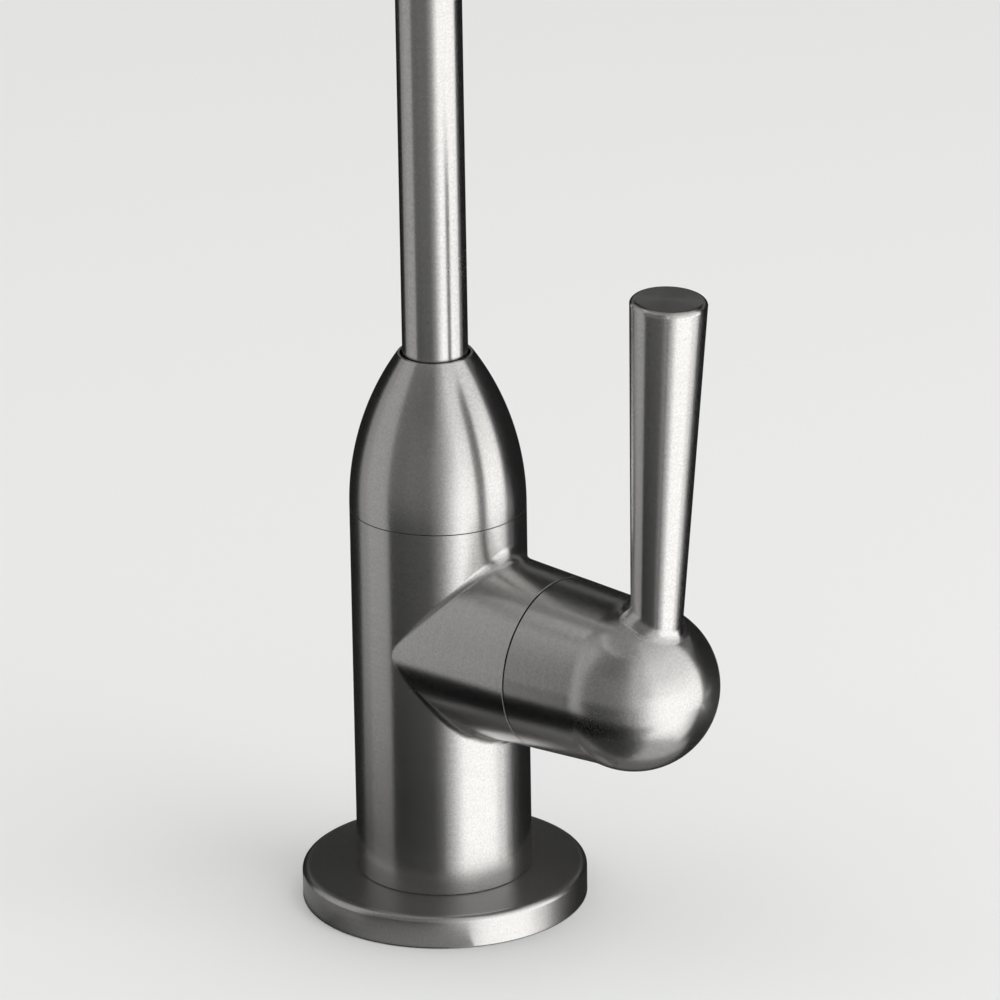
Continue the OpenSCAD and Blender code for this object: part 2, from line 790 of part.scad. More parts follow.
module deck_washer() {
    color(rubber)
        translate([0, 0, z_locator])
            ring(deck_washer_d / 2, shank_r + loose_gap, deck_washer_t);
}

// Plastic washer with a stepped underside that the lock washer lies in
module locator_washer() {
    color(acetal)
        translate([0, 0, z_lock])
            difference() {
                union() {
                    ring(deck_washer_d / 2 + 1, shank_r + loose_gap, locator_t * 0.6 + 0.01);
                    translate([0, 0, locator_t * 0.5])
                        ring(deck_washer_d / 2 - 2, shank_r + loose_gap, locator_t * 0.5);
                }
            }
}

// Lock washer with teeth round its rim
module lock_washer() {
    teeth = 14;
    root_r = shank_r + 3;
    color(steel)
        translate([0, 0, z_nut])
            difference() {
                union() {
                    cylinder(r = root_r, h = lock_washer_t, $fn = 64);
                    for (i = [0 : teeth - 1])
                        rotate([0, 0, i * 360 / teeth])
                            translate([root_r - 1, -0.9, 0])
                                cube([2.6, 1.8, lock_washer_t]);
                }
                translate([0, 0, -over])
                    cylinder(r = shank_r + loose_gap, h = lock_washer_t + 2 * over, $fn = 64);
            }
}

// Hexagon nut with chamfered corners
module mounting_nut() {
    corner_r = nut_af / 2 / cos(30);
    color(brass)
        translate([0, 0, z_nut - nut_h])
            difference() {
                intersection() {
                    hexagon(nut_af, nut_h);
                    rotate_extrude($fn = 96)
                        polygon([[0, 0], [nut_af / 2, 0], [corner_r, 0.8], [corner_r, nut_h - 0.8],
                                 [nut_af / 2, nut_h], [0, nut_h]]);
                }
                translate([0, 0, -over])
                    cylinder(r = shank_thread_r + screw_gap, h = nut_h + 2 * over, $fn = 64);
            }
}

// Compression nut that closes the inlet on its tube
module inlet_nut() {
    tube_hole_r = inlet_tube_d / 2 + 0.1;
    overlap = inlet_nose_l - 2;
    collar_h = 3;
    h = overlap + ferrule_l + collar_h;
    color(brass)
        translate([0, 0, z_nose_end + overlap - h])
            difference() {
                union() {
                    hexagon(inlet_nut_af, h - 2);
                    cylinder(r = inlet_nut_af / 2 - 0.3, h = h, $fn = 64);
                }
                translate([0, 0, collar_h])
                    cylinder(r = inlet_nose_d / 2 + screw_gap, h = h, $fn = 64);
                translate([0, 0, -over])
                    cylinder(r = tube_hole_r, h = collar_h + 2 * over, $fn = 64);
            }
}

// Sealing sleeve squeezed between the nose and the inlet nut
module inlet_ferrule() {
    color(acetal)
        translate([0, 0, z_nose_end - ferrule_l])
            ring(inlet_nose_d / 2 - 0.4, inlet_tube_d / 2 + 0.1, ferrule_l);
}

base_flange();
base_gasket();
body();
spout_cap();
spout_bush();
spout_tube();
spout_foot();
spout_o_ring_upper();
spout_o_ring_lower();
outlet_nozzle();
flow_straightener();
handle();
handle_grub_screw();
cartridge_housing();
cartridge_o_ring();
cartridge_stem();
stem_o_ring();
stem_clip();
moving_disc();
fixed_disc();
disc_seal();
threaded_tail();
deck_washer();
locator_washer();
lock_washer();
mounting_nut();
inlet_nut();
inlet_ferrule();
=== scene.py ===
import math
from functools import partial

import bpy
import numpy as np
from mathutils import Matrix, Vector


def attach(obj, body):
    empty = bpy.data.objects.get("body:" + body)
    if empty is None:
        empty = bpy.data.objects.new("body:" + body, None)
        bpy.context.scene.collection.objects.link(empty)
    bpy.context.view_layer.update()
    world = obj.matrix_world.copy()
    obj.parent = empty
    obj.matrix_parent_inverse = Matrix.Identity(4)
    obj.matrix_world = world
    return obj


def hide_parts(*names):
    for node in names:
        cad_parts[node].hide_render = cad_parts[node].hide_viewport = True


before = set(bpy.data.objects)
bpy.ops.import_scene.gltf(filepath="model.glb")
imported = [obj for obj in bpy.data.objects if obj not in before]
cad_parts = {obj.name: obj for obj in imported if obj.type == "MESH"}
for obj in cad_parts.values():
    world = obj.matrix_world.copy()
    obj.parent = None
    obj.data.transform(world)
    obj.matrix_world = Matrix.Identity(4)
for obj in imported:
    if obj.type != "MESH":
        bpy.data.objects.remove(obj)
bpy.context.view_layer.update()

# Camera and studio
# A long lens a little above the tap, turned 40 degrees towards its handle side, with a trace of roll. A tent
# of white and grey cards stands round the tap, as in a photographer's studio.


def placed(name, data):
    """A new object in the scene."""
    thing = bpy.data.objects.new(name, data)
    bpy.context.scene.collection.objects.link(thing)
    return thing


camera_data = bpy.data.cameras.new("camera")
camera_data.lens = 307.78
camera_data.sensor_width = 36
camera_data.clip_start = 0.05
camera_data.clip_end = 30
camera = placed("camera", camera_data)
camera.matrix_world = Matrix((
    (0.76983, -0.22216, 0.59835, 0.78508),
    (0.63808, 0.28984, -0.71334, -0.92128),
    (-0.01495, 0.93094, 0.36488, 0.53907),
    (0, 0, 0, 1)))
bpy.context.scene.camera = camera
bpy.context.scene.view_settings.view_transform = "Standard"
camera_turn = 40


def direction(turn, rise):
    """Unit vector turn degrees right of the camera's side of the tap and rise degrees above the floor."""
    a = math.radians(camera_turn + turn)
    e = math.radians(rise)
    return Vector((math.sin(a) * math.cos(e), -math.cos(a) * math.cos(e), math.sin(e)))


def softbox(name, turn, radiance, rise=50, distance=0.9, side=0.6):
    """A plain soft lamp turned to the tap. The metal sees the white cards below instead of its face. Its
    power is four times its area times its radiance."""
    lamp = bpy.data.lights.new(name, "AREA")
    lamp.shape = "SQUARE"
    lamp.size = side
    lamp.energy = radiance * 4 * side * side
    holder = placed(name, lamp)
    target = Vector((0, 0, 0.06))
    centre = target + distance * direction(turn, rise)
    turned_to = (target - centre).to_track_quat("-Z", "Y").to_matrix().to_4x4()
    holder.matrix_world = Matrix.Translation(centre) @ turned_to
    holder.visible_camera = False
    holder.visible_glossy = False


softbox("softbox right", 62, 1.6)
softbox("softbox left", -100, 0.4)


def feed(tree, inputs, sources):
    """Sets inputs by name or place. Each takes a value, another node's output or a list of outputs."""
    for socket, value in sources.items():
        for source in value if isinstance(value, list) else [value]:
            if isinstance(source, bpy.types.NodeSocket):
                tree.links.new(source, inputs[socket])
            else:
                inputs[socket].default_value = source


def add_node(tree, kind, sources=None, **settings):
    """Adds a node with its settings, feeds its inputs and gives its outputs."""
    node = tree.nodes.new(kind)
    for name, value in settings.items():
        setattr(node, name, value)
    feed(tree, node.inputs, sources or {})
    return node.outputs


def maths(tree, operation, a, b=0.0, clamp=False):
    return add_node(tree, "ShaderNodeMath", {0: a, 1: b}, operation=operation, use_clamp=clamp)[0]


def plain_material(name, values):
    """A new material, with values for some of its shader's own inputs."""
    material = bpy.data.materials.new(name)
    material.use_nodes = True
    feed(material.node_tree, material.node_tree.nodes["Principled BSDF"].inputs, values)
    return material


# Distances of the tent's cards from the tap's axis, its ceiling and bottom, and the table's ring at the foot
far, near, behind = 0.6, 0.22, 0.61
ceiling_z, bottom_z = 1.10, -0.70
table_ring = (0.0225, 0.030, 0)
facet_turn = 6


def card(name, turns, radiance, distance=far, heights=None, ring=None, to=None):
    """A bent card of the tent, wide of the picture, which only the metal's reflections see. It is a piece of
    wall from height to height, or of the ceiling or bottom, between two radii at one height. Its light is
    even, or fades across its turn to a second value."""
    material = plain_material(name, {"Base Color": (0, 0, 0, 1), "Specular IOR Level": 0,
                                     "Emission Color": (1, 1, 1, 1), "Emission Strength": radiance})
    material.cycles.emission_sampling = "NONE"
    count = max(1, round((turns[1] - turns[0]) / facet_turn))
    points = []
    for i in range(count + 1):
        way = direction(turns[0] + (turns[1] - turns[0]) * i / count, 0)
        if heights:
            points += [way * distance + Vector((0, 0, z)) for z in heights]
        else:
            points += [way * radius + Vector((0, 0, ring[2])) for radius in ring[:2]]
    mesh = bpy.data.meshes.new(name)
    mesh.from_pydata(points, [], [(2 * i, 2 * i + 2, 2 * i + 3, 2 * i + 1) for i in range(count)])
    mesh.materials.append(material)
    if to is not None:
        glow = mesh.attributes.new("glow", "FLOAT", "POINT")
        light = [radiance + (to - radiance) * (i // 2) / count for i in range(len(points))]
        glow.data.foreach_set("value", light)
        tree = material.node_tree
        glow_on = add_node(tree, "ShaderNodeAttribute", attribute_name="glow")["Fac"]
        feed(tree, tree.nodes["Principled BSDF"].inputs, {"Emission Strength": glow_on})
    piece = placed(name, mesh)
    for ray in ("camera", "diffuse", "shadow", "transmission", "volume_scatter"):
        setattr(piece, "visible_" + ray, False)


card("white wall", (26, 97), 1.6, heights=(-0.19, 0.08))
card("white wall middle", (26, 97), 1.3, heights=(0.08, 0.24))
card("white wall high", (26, 97), 1.0, heights=(0.24, 0.62))
card("white wall low", (26, 75), 1.6, heights=(-0.50, -0.19))
card("white return", (97, 112), 1.2, heights=(-0.128, -0.108))
card("white wall top", (20, 95), 0.8, heights=(0.62, ceiling_z))
card("white top end", (95, 140), 0.5, heights=(0.68, ceiling_z))
card("white wall foot", (20, 86), 1.3, heights=(bottom_z, -0.50))
card("white wall edge", (6, 26), 0.4, heights=(-0.36, 0.08), to=1.5)
card("edge high", (6, 26), 0.4, heights=(0.08, 0.62), to=0.95)
card("edge foot", (4, 26), 0.2, heights=(bottom_z, -0.36))
card("edge top", (2, 20), 0.45, heights=(0.62, ceiling_z))
card("front wall right", (-10, 6), 0.2, near, (0.015, 0.16), to=0.42)
card("front wall", (-41, -10), 0.2, near, (0.015, 0.16))
card("front wall left", (-66, -41), 0.18, near, (0.015, 0.40))
card("front high", (-41, -3), 0.16, near, (0.16, 0.40))
card("front high right", (-3, 6), 0.2, near, (0.16, 0.40), to=0.42)
card("front wall foot", (-62, -10), 0.05, near, (-0.075, 0.015), to=0.10)
card("front foot right", (-10, 6), 0.10, near, (-0.075, 0.015), to=0.38)
card("left wall top", (-120, -66), 0.2, near, (0.33, 0.40))
card("left wall", (-102, -66), 0.46, near, (-0.066, 0.33))
card("left wall end", (-120, -102), 0.36, near, (-0.058, 0.33))
card("left wall foot", (-120, -66), 0.12, near, (-0.075, -0.066))
card("left end foot", (-120, -102), 0.16, near, (-0.066, -0.058))
card("dark foot", (-127, 4), 0.003, heights=(bottom_z, -0.05))
card("near table left", (-105, -58), 0.28, ring=table_ring, to=0.08)
card("near table", (-58, -30), 0.06, ring=table_ring, to=0.2)
card("near table right", (-30, 12), 0.2, ring=table_ring, to=0.27)
card("dark back", (90, 240), 0.015, behind, (bottom_z, 0.30))
card("back wall", (100, 208), 0.16, heights=(0.30, 0.43))
card("dark gap", (100, 212), 0.01, behind, (0.40, 0.95))
card("back corner", (208, 240), 0.1, heights=(0.30, ceiling_z), to=0.25)
card("back wall top", (140, 208), 0.12, heights=(0.95, ceiling_z))
card("ceiling right", (20, 150), 0.6, ring=(0.25, behind, ceiling_z))
card("ceiling left", (150, 380), 0.28, ring=(0.25, behind, ceiling_z))
card("ceiling middle", (0, 360), 0.3, ring=(0, 0.25, ceiling_z))
card("bottom right", (20, 120), 0.5, ring=(0, behind, bottom_z))
card("bottom front", (-95, 20), 0.03, ring=(0, behind, bottom_z))
card("bottom back", (120, 265), 0.15, ring=(0, behind, bottom_z))

world = bpy.data.worlds.new("studio")
bpy.context.scene.world = world
world.use_nodes = True
tree = world.node_tree
tree.nodes.clear()
rays = add_node(tree, "ShaderNodeLightPath")
seen = rays["Is Camera Ray"]
for ray in ("Is Glossy Ray", "Is Transmission Ray"):
    seen = maths(tree, "MAXIMUM", seen, rays[ray])
room = add_node(tree, "ShaderNodeBackground", {"Color": (0.9, 0.9, 0.9, 1), "Strength": 0.85})[0]
paper = add_node(tree, "ShaderNodeBackground", {"Color": (0.92, 0.92, 0.915, 1), "Strength": 1.0})[0]
mix = add_node(tree, "ShaderNodeMixShader", {"Fac": seen, 1: room, 2: paper})[0]
add_node(tree, "ShaderNodeOutputWorld", {"Surface": mix})

floor_half, floor_z = 6, -5e-5
corners = [(x * floor_half, y * floor_half, floor_z) for x, y in ((-1, -1), (1, -1), (1, 1), (-1, 1))]
floor_mesh = bpy.data.meshes.new("floor")
floor_mesh.from_pydata(corners, [], [(0, 1, 2, 3)])
floor_mesh.materials.append(plain_material("pale floor", {
    "Base Color": (0.86, 0.86, 0.855, 1), "Roughness": 0.9, "Specular IOR Level": 0.1}))
floor = placed("floor", floor_mesh)
floor.visible_glossy = False

# Base flange
# Round foot plate turned from brass bar and plated satin nickel. It spreads the clamp's load on the
# worktop, its edge is rounded, and a recess below takes the gasket.


class Shell:
    """A closed skin in millimetres, built ring by ring. Each point keeps its surface's true normal, the
    direction across its grain and a station in that direction, which the finish reads."""

    def __init__(self):
        self.points, self.normals, self.across, self.along, self.faces = [], [], [], [], []

    def add(self, point, normal, axis=(0, 0, 1), along=None):
        self.points.append(tuple(point))
        normal, axis = Vector(normal).normalized(), Vector(axis)
        self.normals.append(tuple(normal))
        self.across.append(tuple((axis - axis.dot(normal) * normal).normalized()))
        self.along.append(float(Vector(point).dot(axis)) if along is None else along)
        return len(self.points) - 1

    def strip(self, a, b):
        n = len(a)
        self.faces += [(a[k], a[(k + 1) % n], b[(k + 1) % n], b[k]) for k in range(n)]

    def fan(self, a, pole):
        n = len(a)
        self.faces += [(a[k], a[(k + 1) % n], pole) for k in range(n)]

    def grow(self, outer, points, normals, axes, along):
        """Adds the next ring, joins it to the outer one and gives it back. A direction or a station may be
        one for the whole ring."""
        n = len(outer)
        rows = [np.broadcast_to(np.reshape(v, (3, -1)), (3, n)).T for v in (points, normals, axes)]
        ring = [self.add(*values) for values in zip(*rows, np.broadcast_to(along, n))]
        self.strip(outer, ring)
        return ring

    def finish(self, name, material, move=(0, 0, 0), creased=None):
        used = sorted({i for f in self.faces for i in f})
        index = {old: new for new, old in enumerate(used)}
        mesh = bpy.data.meshes.new(name)
        mesh.from_pydata([[(p + m) / 1000 for p, m in zip(self.points[i], move)] for i in used], [],
                         [[index[i] for i in f] for f in self.faces])
        mesh.polygons.foreach_set("use_smooth", [True] * len(mesh.polygons))
        across = mesh.attributes.new("across_grain", "FLOAT_VECTOR", "POINT")
        across.data.foreach_set("vector", [c for i in used for c in self.across[i]])
        along = mesh.attributes.new("grain_station", "FLOAT", "POINT")
        along.data.foreach_set("value", [self.along[i] / 1000 for i in used])
        if creased is None:
            mesh.normals_split_custom_set_from_vertices([self.normals[i] for i in used])
        else:
            mesh.set_sharp_from_angle(angle=math.radians(creased))
        mesh.materials.append(material)
        return placed(name, mesh)


def stand_for(piece, node, body):
    """Lets a finished piece stand for its solid and ride with its body."""
    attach(piece, body)
    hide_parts(node)


def section(parts, steps=4):
    """Half section of a turned piece as (radius, height, normal) samples, the metal on the left of the way
    round. A part is a corner (radius, height, rounding) or a list of ready samples."""
    first = [p if isinstance(p, tuple) else p[0] for p in parts]
    last = [p if isinstance(p, tuple) else p[-1] for p in parts]
    rows = []
    for i, part in enumerate(parts):
        if isinstance(part, list):
            rows.extend(part)
            continue
        here = Vector(part[:2])
        came = (here - Vector(last[i - 1][:2])).normalized()
        goes = (Vector(first[(i + 1) % len(parts)][:2]) - here).normalized()
        bend = math.atan2(came.x * goes.y - came.y * goes.x, came.dot(goes))
        rounding = part[2]
        start = here - came * rounding * math.tan(abs(bend) / 2)
        out = Vector((came.y, -came.x))
        sign = 1 if bend > 0 else -1
        centre = start - sign * rounding * out
        for s in range(steps + 1):
            a = bend * s / steps
            n = Vector((out.x * math.cos(a) - out.y * math.sin(a), out.x * math.sin(a) + out.y * math.cos(a)))
            p = centre + sign * rounding * n
            rows.append((p.x, p.y, n.x, n.y))
    return rows


def upright(r, h, a, is_point):
    return (r * math.cos(a), r * math.sin(a), h)


def turned(shell, rows, count, place=upright, windows=()):
    """Turns a section round its axis in count steps. place gives a point or a direction from (radius, height,
    angle). The section closes on itself unless it starts on the axis. A window (row0, row1, step0, step1)
    leaves an opening, whose edge comes back as a ring, anticlockwise from outside."""
    rings, run = [], 0
    for i, (r, h, nr, nh) in enumerate(rows):
        run += math.dist(rows[i - 1][:2], (r, h)) if i else 0
        if not r:
            rings.append([shell.add(place(0, h, 0, 1), place(0, nh, 0, 0), place(1, 0, 0, 0), run)] * count)
            continue
        turns = [2 * math.pi * j / count for j in range(count)]
        rings.append([shell.add(place(r, h, a, 1), place(nr, nh, a, 0), place(-nh, nr, a, 0), run)
                      for a in turns])
    total = len(rings)
    for i in range(total if rows[0][0] else total - 1):
        a, b = rings[i], rings[(i + 1) % total]
        for j in range(count):
            if any(w[0] <= i < w[1] and (j - w[2]) % count < w[3] - w[2] for w in windows):
                continue
            k = (j + 1) % count
            face = [a[j], a[k], b[k], b[j]]
            shell.faces.append(tuple(v for n, v in enumerate(face) if v != face[n - 1]))
    edges = []
    for i0, i1, j0, j1 in windows:
        edges.append([(i0, j) for j in range(j0, j1)] + [(i, j1) for i in range(i0, i1)]
                     + [(i1, j) for j in range(j1, j0, -1)] + [(i, j0) for i in range(i1, i0, -1)])
    return rings, edges


def new_group(name, kind, inputs, outputs):
    """An empty node group. Each input is a name and a kind of value, and may have a value to start from."""
    group = bpy.data.node_groups.new(name, kind)
    for way, sockets in (("INPUT", inputs), ("OUTPUT", outputs)):
        for label, sort, *value in sockets:
            socket = group.interface.new_socket(label, in_out=way, socket_type="NodeSocket" + sort)
            if value:
                socket.default_value = value[0]
    return group, group.nodes.new("NodeGroupInput").outputs, group.nodes.new("NodeGroupOutput").inputs


# Fine finish of a metal piece: lathe lines across the turning axis, a satin speckle and slow clouds
satin_grain, given, result = new_group(
    "Satin grain", "ShaderNodeTree",
    [("Vector", "Vector"), ("Along", "Float"), ("Line Pitch", "Float", 0.00045),
     ("Speckle Size", "Float", 0.0003), ("Line Share", "Float", 0.2), ("Roughness", "Float", 0.3),
     ("Roughness Spread", "Float", 0.04), ("Cloud Size", "Float", 0.012),
     ("Colour", "Color", (0.6, 0.59, 0.57, 1)), ("Colour Spread", "Float", 0.5)],
    [("Height", "Float"), ("Roughness", "Float"), ("Colour", "Color")])
number = partial(maths, satin_grain)


def noise(size, detail, dimensions="3D", **more):
    """Noise of one size in the piece's own space."""
    scaled = add_node(satin_grain, "ShaderNodeVectorMath",
                      {0: given["Vector"], "Scale": number("DIVIDE", 1, size)}, operation="SCALE")[0]
    given_to = {"Vector": scaled, "Scale": 1, "Detail": detail, **more}
    return add_node(satin_grain, "ShaderNodeTexNoise", given_to, noise_dimensions=dimensions)["Fac"]


# The slow drift keeps a line from running all round at one strength
drift_size = 0.004
lines = noise(drift_size, 1, "4D", W=number("DIVIDE", given["Along"], given["Line Pitch"]))
speckle = noise(given["Speckle Size"], 2)
cloud = noise(given["Cloud Size"], 2)
relief = add_node(satin_grain, "ShaderNodeMix",
                  {"Factor": given["Line Share"], "A": speckle, "B": lines})["Result"]
off_mean = number("SUBTRACT", relief, 0.5)
drift = number("ADD", number("SUBTRACT", cloud, 0.5), number("MULTIPLY", off_mean, 0.6))
spread = number("MULTIPLY", given["Roughness Spread"], 2)
roughness = number("ADD", given["Roughness"], number("MULTIPLY", drift, spread), True)
level = number("ADD", 1, number("MULTIPLY", off_mean, given["Colour Spread"]))
shade = add_node(satin_grain, "ShaderNodeCombineColor", {"Red": level, "Green": level, "Blue": level})[0]
tint = add_node(satin_grain, "ShaderNodeMix", {"Factor": 1, "A": given["Colour"], "B": shade},
                data_type="RGBA", blend_type="MULTIPLY")["Result"]
feed(satin_grain, result, {"Height": relief, "Roughness": roughness, "Colour": tint})


def surfaced(name, colour, roughness, anisotropy=0.0, along="attribute", bump=1.0e-6, metallic=1.0,
             specular=0.5, **grain):
    """Material with a worked surface. along is the piece's own attribute, or the letter of the axis that it
    was turned about."""
    material = plain_material(name, {"Metallic": metallic, "Specular IOR Level": specular,
                                     "Anisotropic": anisotropy})
    tree = material.node_tree
    shader = tree.nodes["Principled BSDF"].inputs
    where = add_node(tree, "ShaderNodeTexCoord")["Object"]
    if along == "attribute":
        station = add_node(tree, "ShaderNodeAttribute", attribute_name="grain_station")["Fac"]
    else:
        station = add_node(tree, "ShaderNodeSeparateXYZ", {0: where})[along]
    if anisotropy:
        axis = add_node(tree, "ShaderNodeAttribute", attribute_name="across_grain")["Vector"]
        tangent = add_node(tree, "ShaderNodeVectorTransform", {0: axis}, vector_type="VECTOR",
                           convert_from="OBJECT", convert_to="WORLD")[0]
        feed(tree, shader, {"Tangent": tangent})
    given = {label.replace("_", " ").title(): value for label, value in grain.items()}
    given.update({"Vector": where, "Along": station, "Colour": (*colour, 1), "Roughness": roughness})
    finish = add_node(tree, "ShaderNodeGroup", given, node_tree=satin_grain)
    raised = add_node(tree, "ShaderNodeBump", {"Distance": bump, "Height": finish["Height"]})[0]
    feed(tree, shader, {"Normal": raised, "Roughness": finish["Roughness"], "Base Color": finish["Colour"]})
    return material


# The second colour is the flange top's darker nickel, which is painted shade
nickel, top_painted_shade_nickel = (0.61, 0.602, 0.588), (0.37, 0.365, 0.356)
foot_roughness, dull_roughness = 0.3, 0.42
satin_nickel = surfaced("satin nickel", nickel, 0.25, 0.6, bump=1.2e-6)
satin_foot = surfaced("satin nickel foot", nickel, foot_roughness, 0.4, bump=2.0e-6)

flange_r, flange_top, flange_round = 22.0, 5.1, 0.9
gasket_recess_r, gasket_t, deck_hole_r = 19.4, 1.5, 6.3
flange = Shell()
flange_section = section([
    (deck_hole_r, gasket_t, 0.1), (gasket_recess_r, gasket_t, 0.1), (gasket_recess_r, 0.0, 0.12),
    (flange_r, 0.0, 0.25), (flange_r, flange_top, flange_round), (deck_hole_r, flange_top, 0.1)], 6)
rings, _ = turned(flange, flange_section, 256)
# The top face is left as the lathe's facing cut made it, coarser than the dressed edge; its darker colour is
# painted shade
top_ring = next(i for i, row in enumerate(flange_section) if row[0] > gasket_recess_r and row[3] > 0.9)
top_starts, change_l = flange.along[rings[top_ring][0]] / 1000, 0.0006
tree = satin_foot.node_tree
on_top = add_node(tree, "ShaderNodeMapRange", {"Value": tree.nodes["Attribute"].outputs["Fac"],
                                               "From Min": top_starts, "From Max": top_starts + change_l})[0]
for socket, sort, edge_value, top_value in (("Colour", "RGBA", (*nickel, 1), (*top_painted_shade_nickel, 1)),
                                            ("Roughness", "FLOAT", foot_roughness, dull_roughness)):
    mixed = add_node(tree, "ShaderNodeMix", {"Factor": on_top, "A": edge_value, "B": top_value},
                     data_type=sort)
    feed(tree, tree.nodes["Group"].inputs, {socket: mixed["Result"]})
stand_for(flange.finish("flange_plate", satin_foot), "base_flange", "tap")

# Base gasket
# Flat ring of black nitrile rubber, punched from sheet. It lies in the flange's recess and seals the
# worktop's hole.


def turned_piece(name, node, body, corners, material, count=128, place=upright, steps=4,
                 move=(0, 0, 0)):
    """A piece turned from the corners of its section, which rides with a body and stands for a node."""
    shell = Shell()
    turned(shell, section(corners, steps), count, place)
    stand_for(shell.finish(name, material, move), node, body)


def ring_corners(inner_r, outer_r, low, high, inner_round, outer_round=None):
    """Section of a flat ring. Its outer corners are as round as its inner ones where nothing else is said."""
    outer_round = outer_round or inner_round
    return [(inner_r, low, inner_round), (outer_r, low, outer_round), (outer_r, high, outer_round),
            (inner_r, high, inner_round)]


black_rubber = surfaced("black rubber", (0.026, 0.026, 0.028), 0.6, bump=8.0e-6, metallic=0.0, specular=0.35,
                        along="Z", line_share=0.1, speckle_size=0.0004, colour_spread=0.4,
                        roughness_spread=0.08, cloud_size=0.006)
turned_piece("gasket_ring", "base_gasket", "tap", ring_corners(8.0, 19.3, 0, gasket_t, 0.15),
             black_rubber)

# Body
# Pillar and side boss cast in one in brass, turned, blended by hand and plated satin nickel. The boss is a
# circle at the handle's seam and grows into a tall oval, with a fillet that dies away at both sides.
body_r, boss_r, handle_z, boss_reach = 13.5, 13.4, 44.0, 23.3
crest_fillet, flank_fillet, under_fillet = 2.5, 0.9, 1.6
boss_draft = math.tan(math.radians(4.8))
cap_seam_z, neck_r, neck_top = 64.3, 9.5, 74.5
spout_bore_r, spout_bore_floor, tail_bore_r, tail_bore_top = 6.55, 57.05, 5.8, 17.0
cartridge_bore_r, cartridge_floor_x = 9.0, -4.0
x_way = np.array([[1], [0], [0]])
z_way = np.array([[0], [0], [1]])


def boss_point(x, t):
    half = boss_r + boss_draft * (boss_reach - x) * np.cos(t) ** 2
    return np.array([x + 0 * t, boss_r * np.sin(t), handle_z + half * np.cos(t)])


def boss_normal(x, t):
    side = boss_r + 3 * boss_draft * (boss_reach - x) * np.cos(t) ** 2
    n = np.array([boss_r * boss_draft * np.cos(t) ** 4, side * np.sin(t), boss_r * np.cos(t)])
    return n / np.linalg.norm(n, axis=0)


def boss_fillet(t):
    """The fillet is widest on the crest and below the sides, and dressed finer along the upper flanks."""
    up, flank = (1 + np.cos(t)) / 2, np.sin(2 * t) ** 2
    return (up * (crest_fillet + (flank_fillet - crest_fillet) * flank)
            + (1 - up) * (under_fillet + (crest_fillet - under_fillet) * flank))


def halved(low, high, is_past, steps=40):
    """Closes in on the place where is_past turns true, for each point of a ring at once."""
    for _ in range(steps):
        middle = (low + high) / 2
        past = is_past(middle)
        high, low = np.where(past, middle, high), np.where(past, low, middle)
    return middle


def boss_roll(t):
    """Where a ball of the fillet's radius rests on boss and pillar at once: its station and its centre."""
    r = boss_fillet(t)

    def centre(x):
        return boss_point(x, t) + r * boss_normal(x, t)

    x = halved(np.zeros_like(t), body_r + r, lambda x: np.hypot(*centre(x)[:2]) > body_r + r)
    return x, centre(x)


def match(edge, table_angle, table_value):
    """Values of a loop's parameter at the angles of an edge's points, so that lines between never cross."""
    angle = np.unwrap(table_angle)
    if angle[-1] < angle[0]:
        angle, table_value = angle[::-1], table_value[::-1]
    angle = np.concatenate([angle - 2 * math.pi, angle, angle + 2 * math.pi])
    period = 2 * math.pi * np.sign(table_value[-1] - table_value[0])
    value = np.concatenate([table_value - period, table_value, table_value + period])
    return np.interp(edge, angle, value)


def blend_unit(a, b, s):
    w = np.arccos(np.clip((a * b).sum(0), -1, 1))
    w = np.maximum(w, 1e-6)
    return (np.sin((1 - s) * w) * a + np.sin(s * w) * b) / np.sin(w)


# The wall has a ring each millimetre, and the boss fills a window in it between two heights
body = Shell()
body_steps, grid_from, grid_to = 192, 6, 64
window_low, window_high, window_half = 22, 63, 52
wall_rows = [(body_r, z, 1, 0) for z in np.arange(grid_from, grid_to + 0.5, 1.0)]
body_section = section([
    [(0, tail_bore_top, 0, -1)], (tail_bore_r, tail_bore_top, 0.1), (tail_bore_r, flange_top, 0.1),
    (body_r, flange_top, 0.22), wall_rows, (body_r, cap_seam_z, 0.05), (neck_r, cap_seam_z, 0.1),
    (neck_r, neck_top, 0.3), (spout_bore_r, neck_top, 0.2), (spout_bore_r, spout_bore_floor, 0.1),
    [(0, spout_bore_floor, 0, 1)]])
first = next(i for i, row in enumerate(body_section) if row[:2] == (body_r, grid_from))
window = (first + window_low - grid_from, first + window_high - grid_from, -window_half, window_half)
rings, (edge,) = turned(body, body_section, body_steps, windows=(window,))
grid_run = body.along[rings[first][0]] - grid_from
edge_angle = np.array([2 * math.pi * j / body_steps for i, j in edge])
edge_z = np.array([body_section[i][1] for i, j in edge])
outer = [rings[i][j % body_steps] for i, j in edge]

loop_t = np.linspace(0, 2 * math.pi, 721)
_, c = boss_roll(loop_t)
loop_angle, loop_z = np.arctan2(c[1], c[0]), c[2]
t = match(np.arctan2(edge_z - handle_z, edge_angle * body_r),
          np.arctan2(loop_z - handle_z, loop_angle * body_r), loop_t)
station, c = boss_roll(t)
foot_angle, foot_z = np.arctan2(c[1], c[0]), c[2]
skirt_steps, fillet_steps, flank_steps, edge_steps = 12, 16, 8, 4
for step in range(1, skirt_steps):
    f = step / skirt_steps
    a, z = edge_angle * (1 - f) + foot_angle * f, edge_z * (1 - f) + foot_z * f
    way = np.array([np.cos(a), np.sin(a), 0 * a])
    outer = body.grow(outer, body_r * way + z * z_way, way, z_way, grid_run + z)
to_body = -np.array([c[0], c[1], 0 * c[0]]) / np.hypot(c[0], c[1])
to_boss = -boss_normal(station, t)
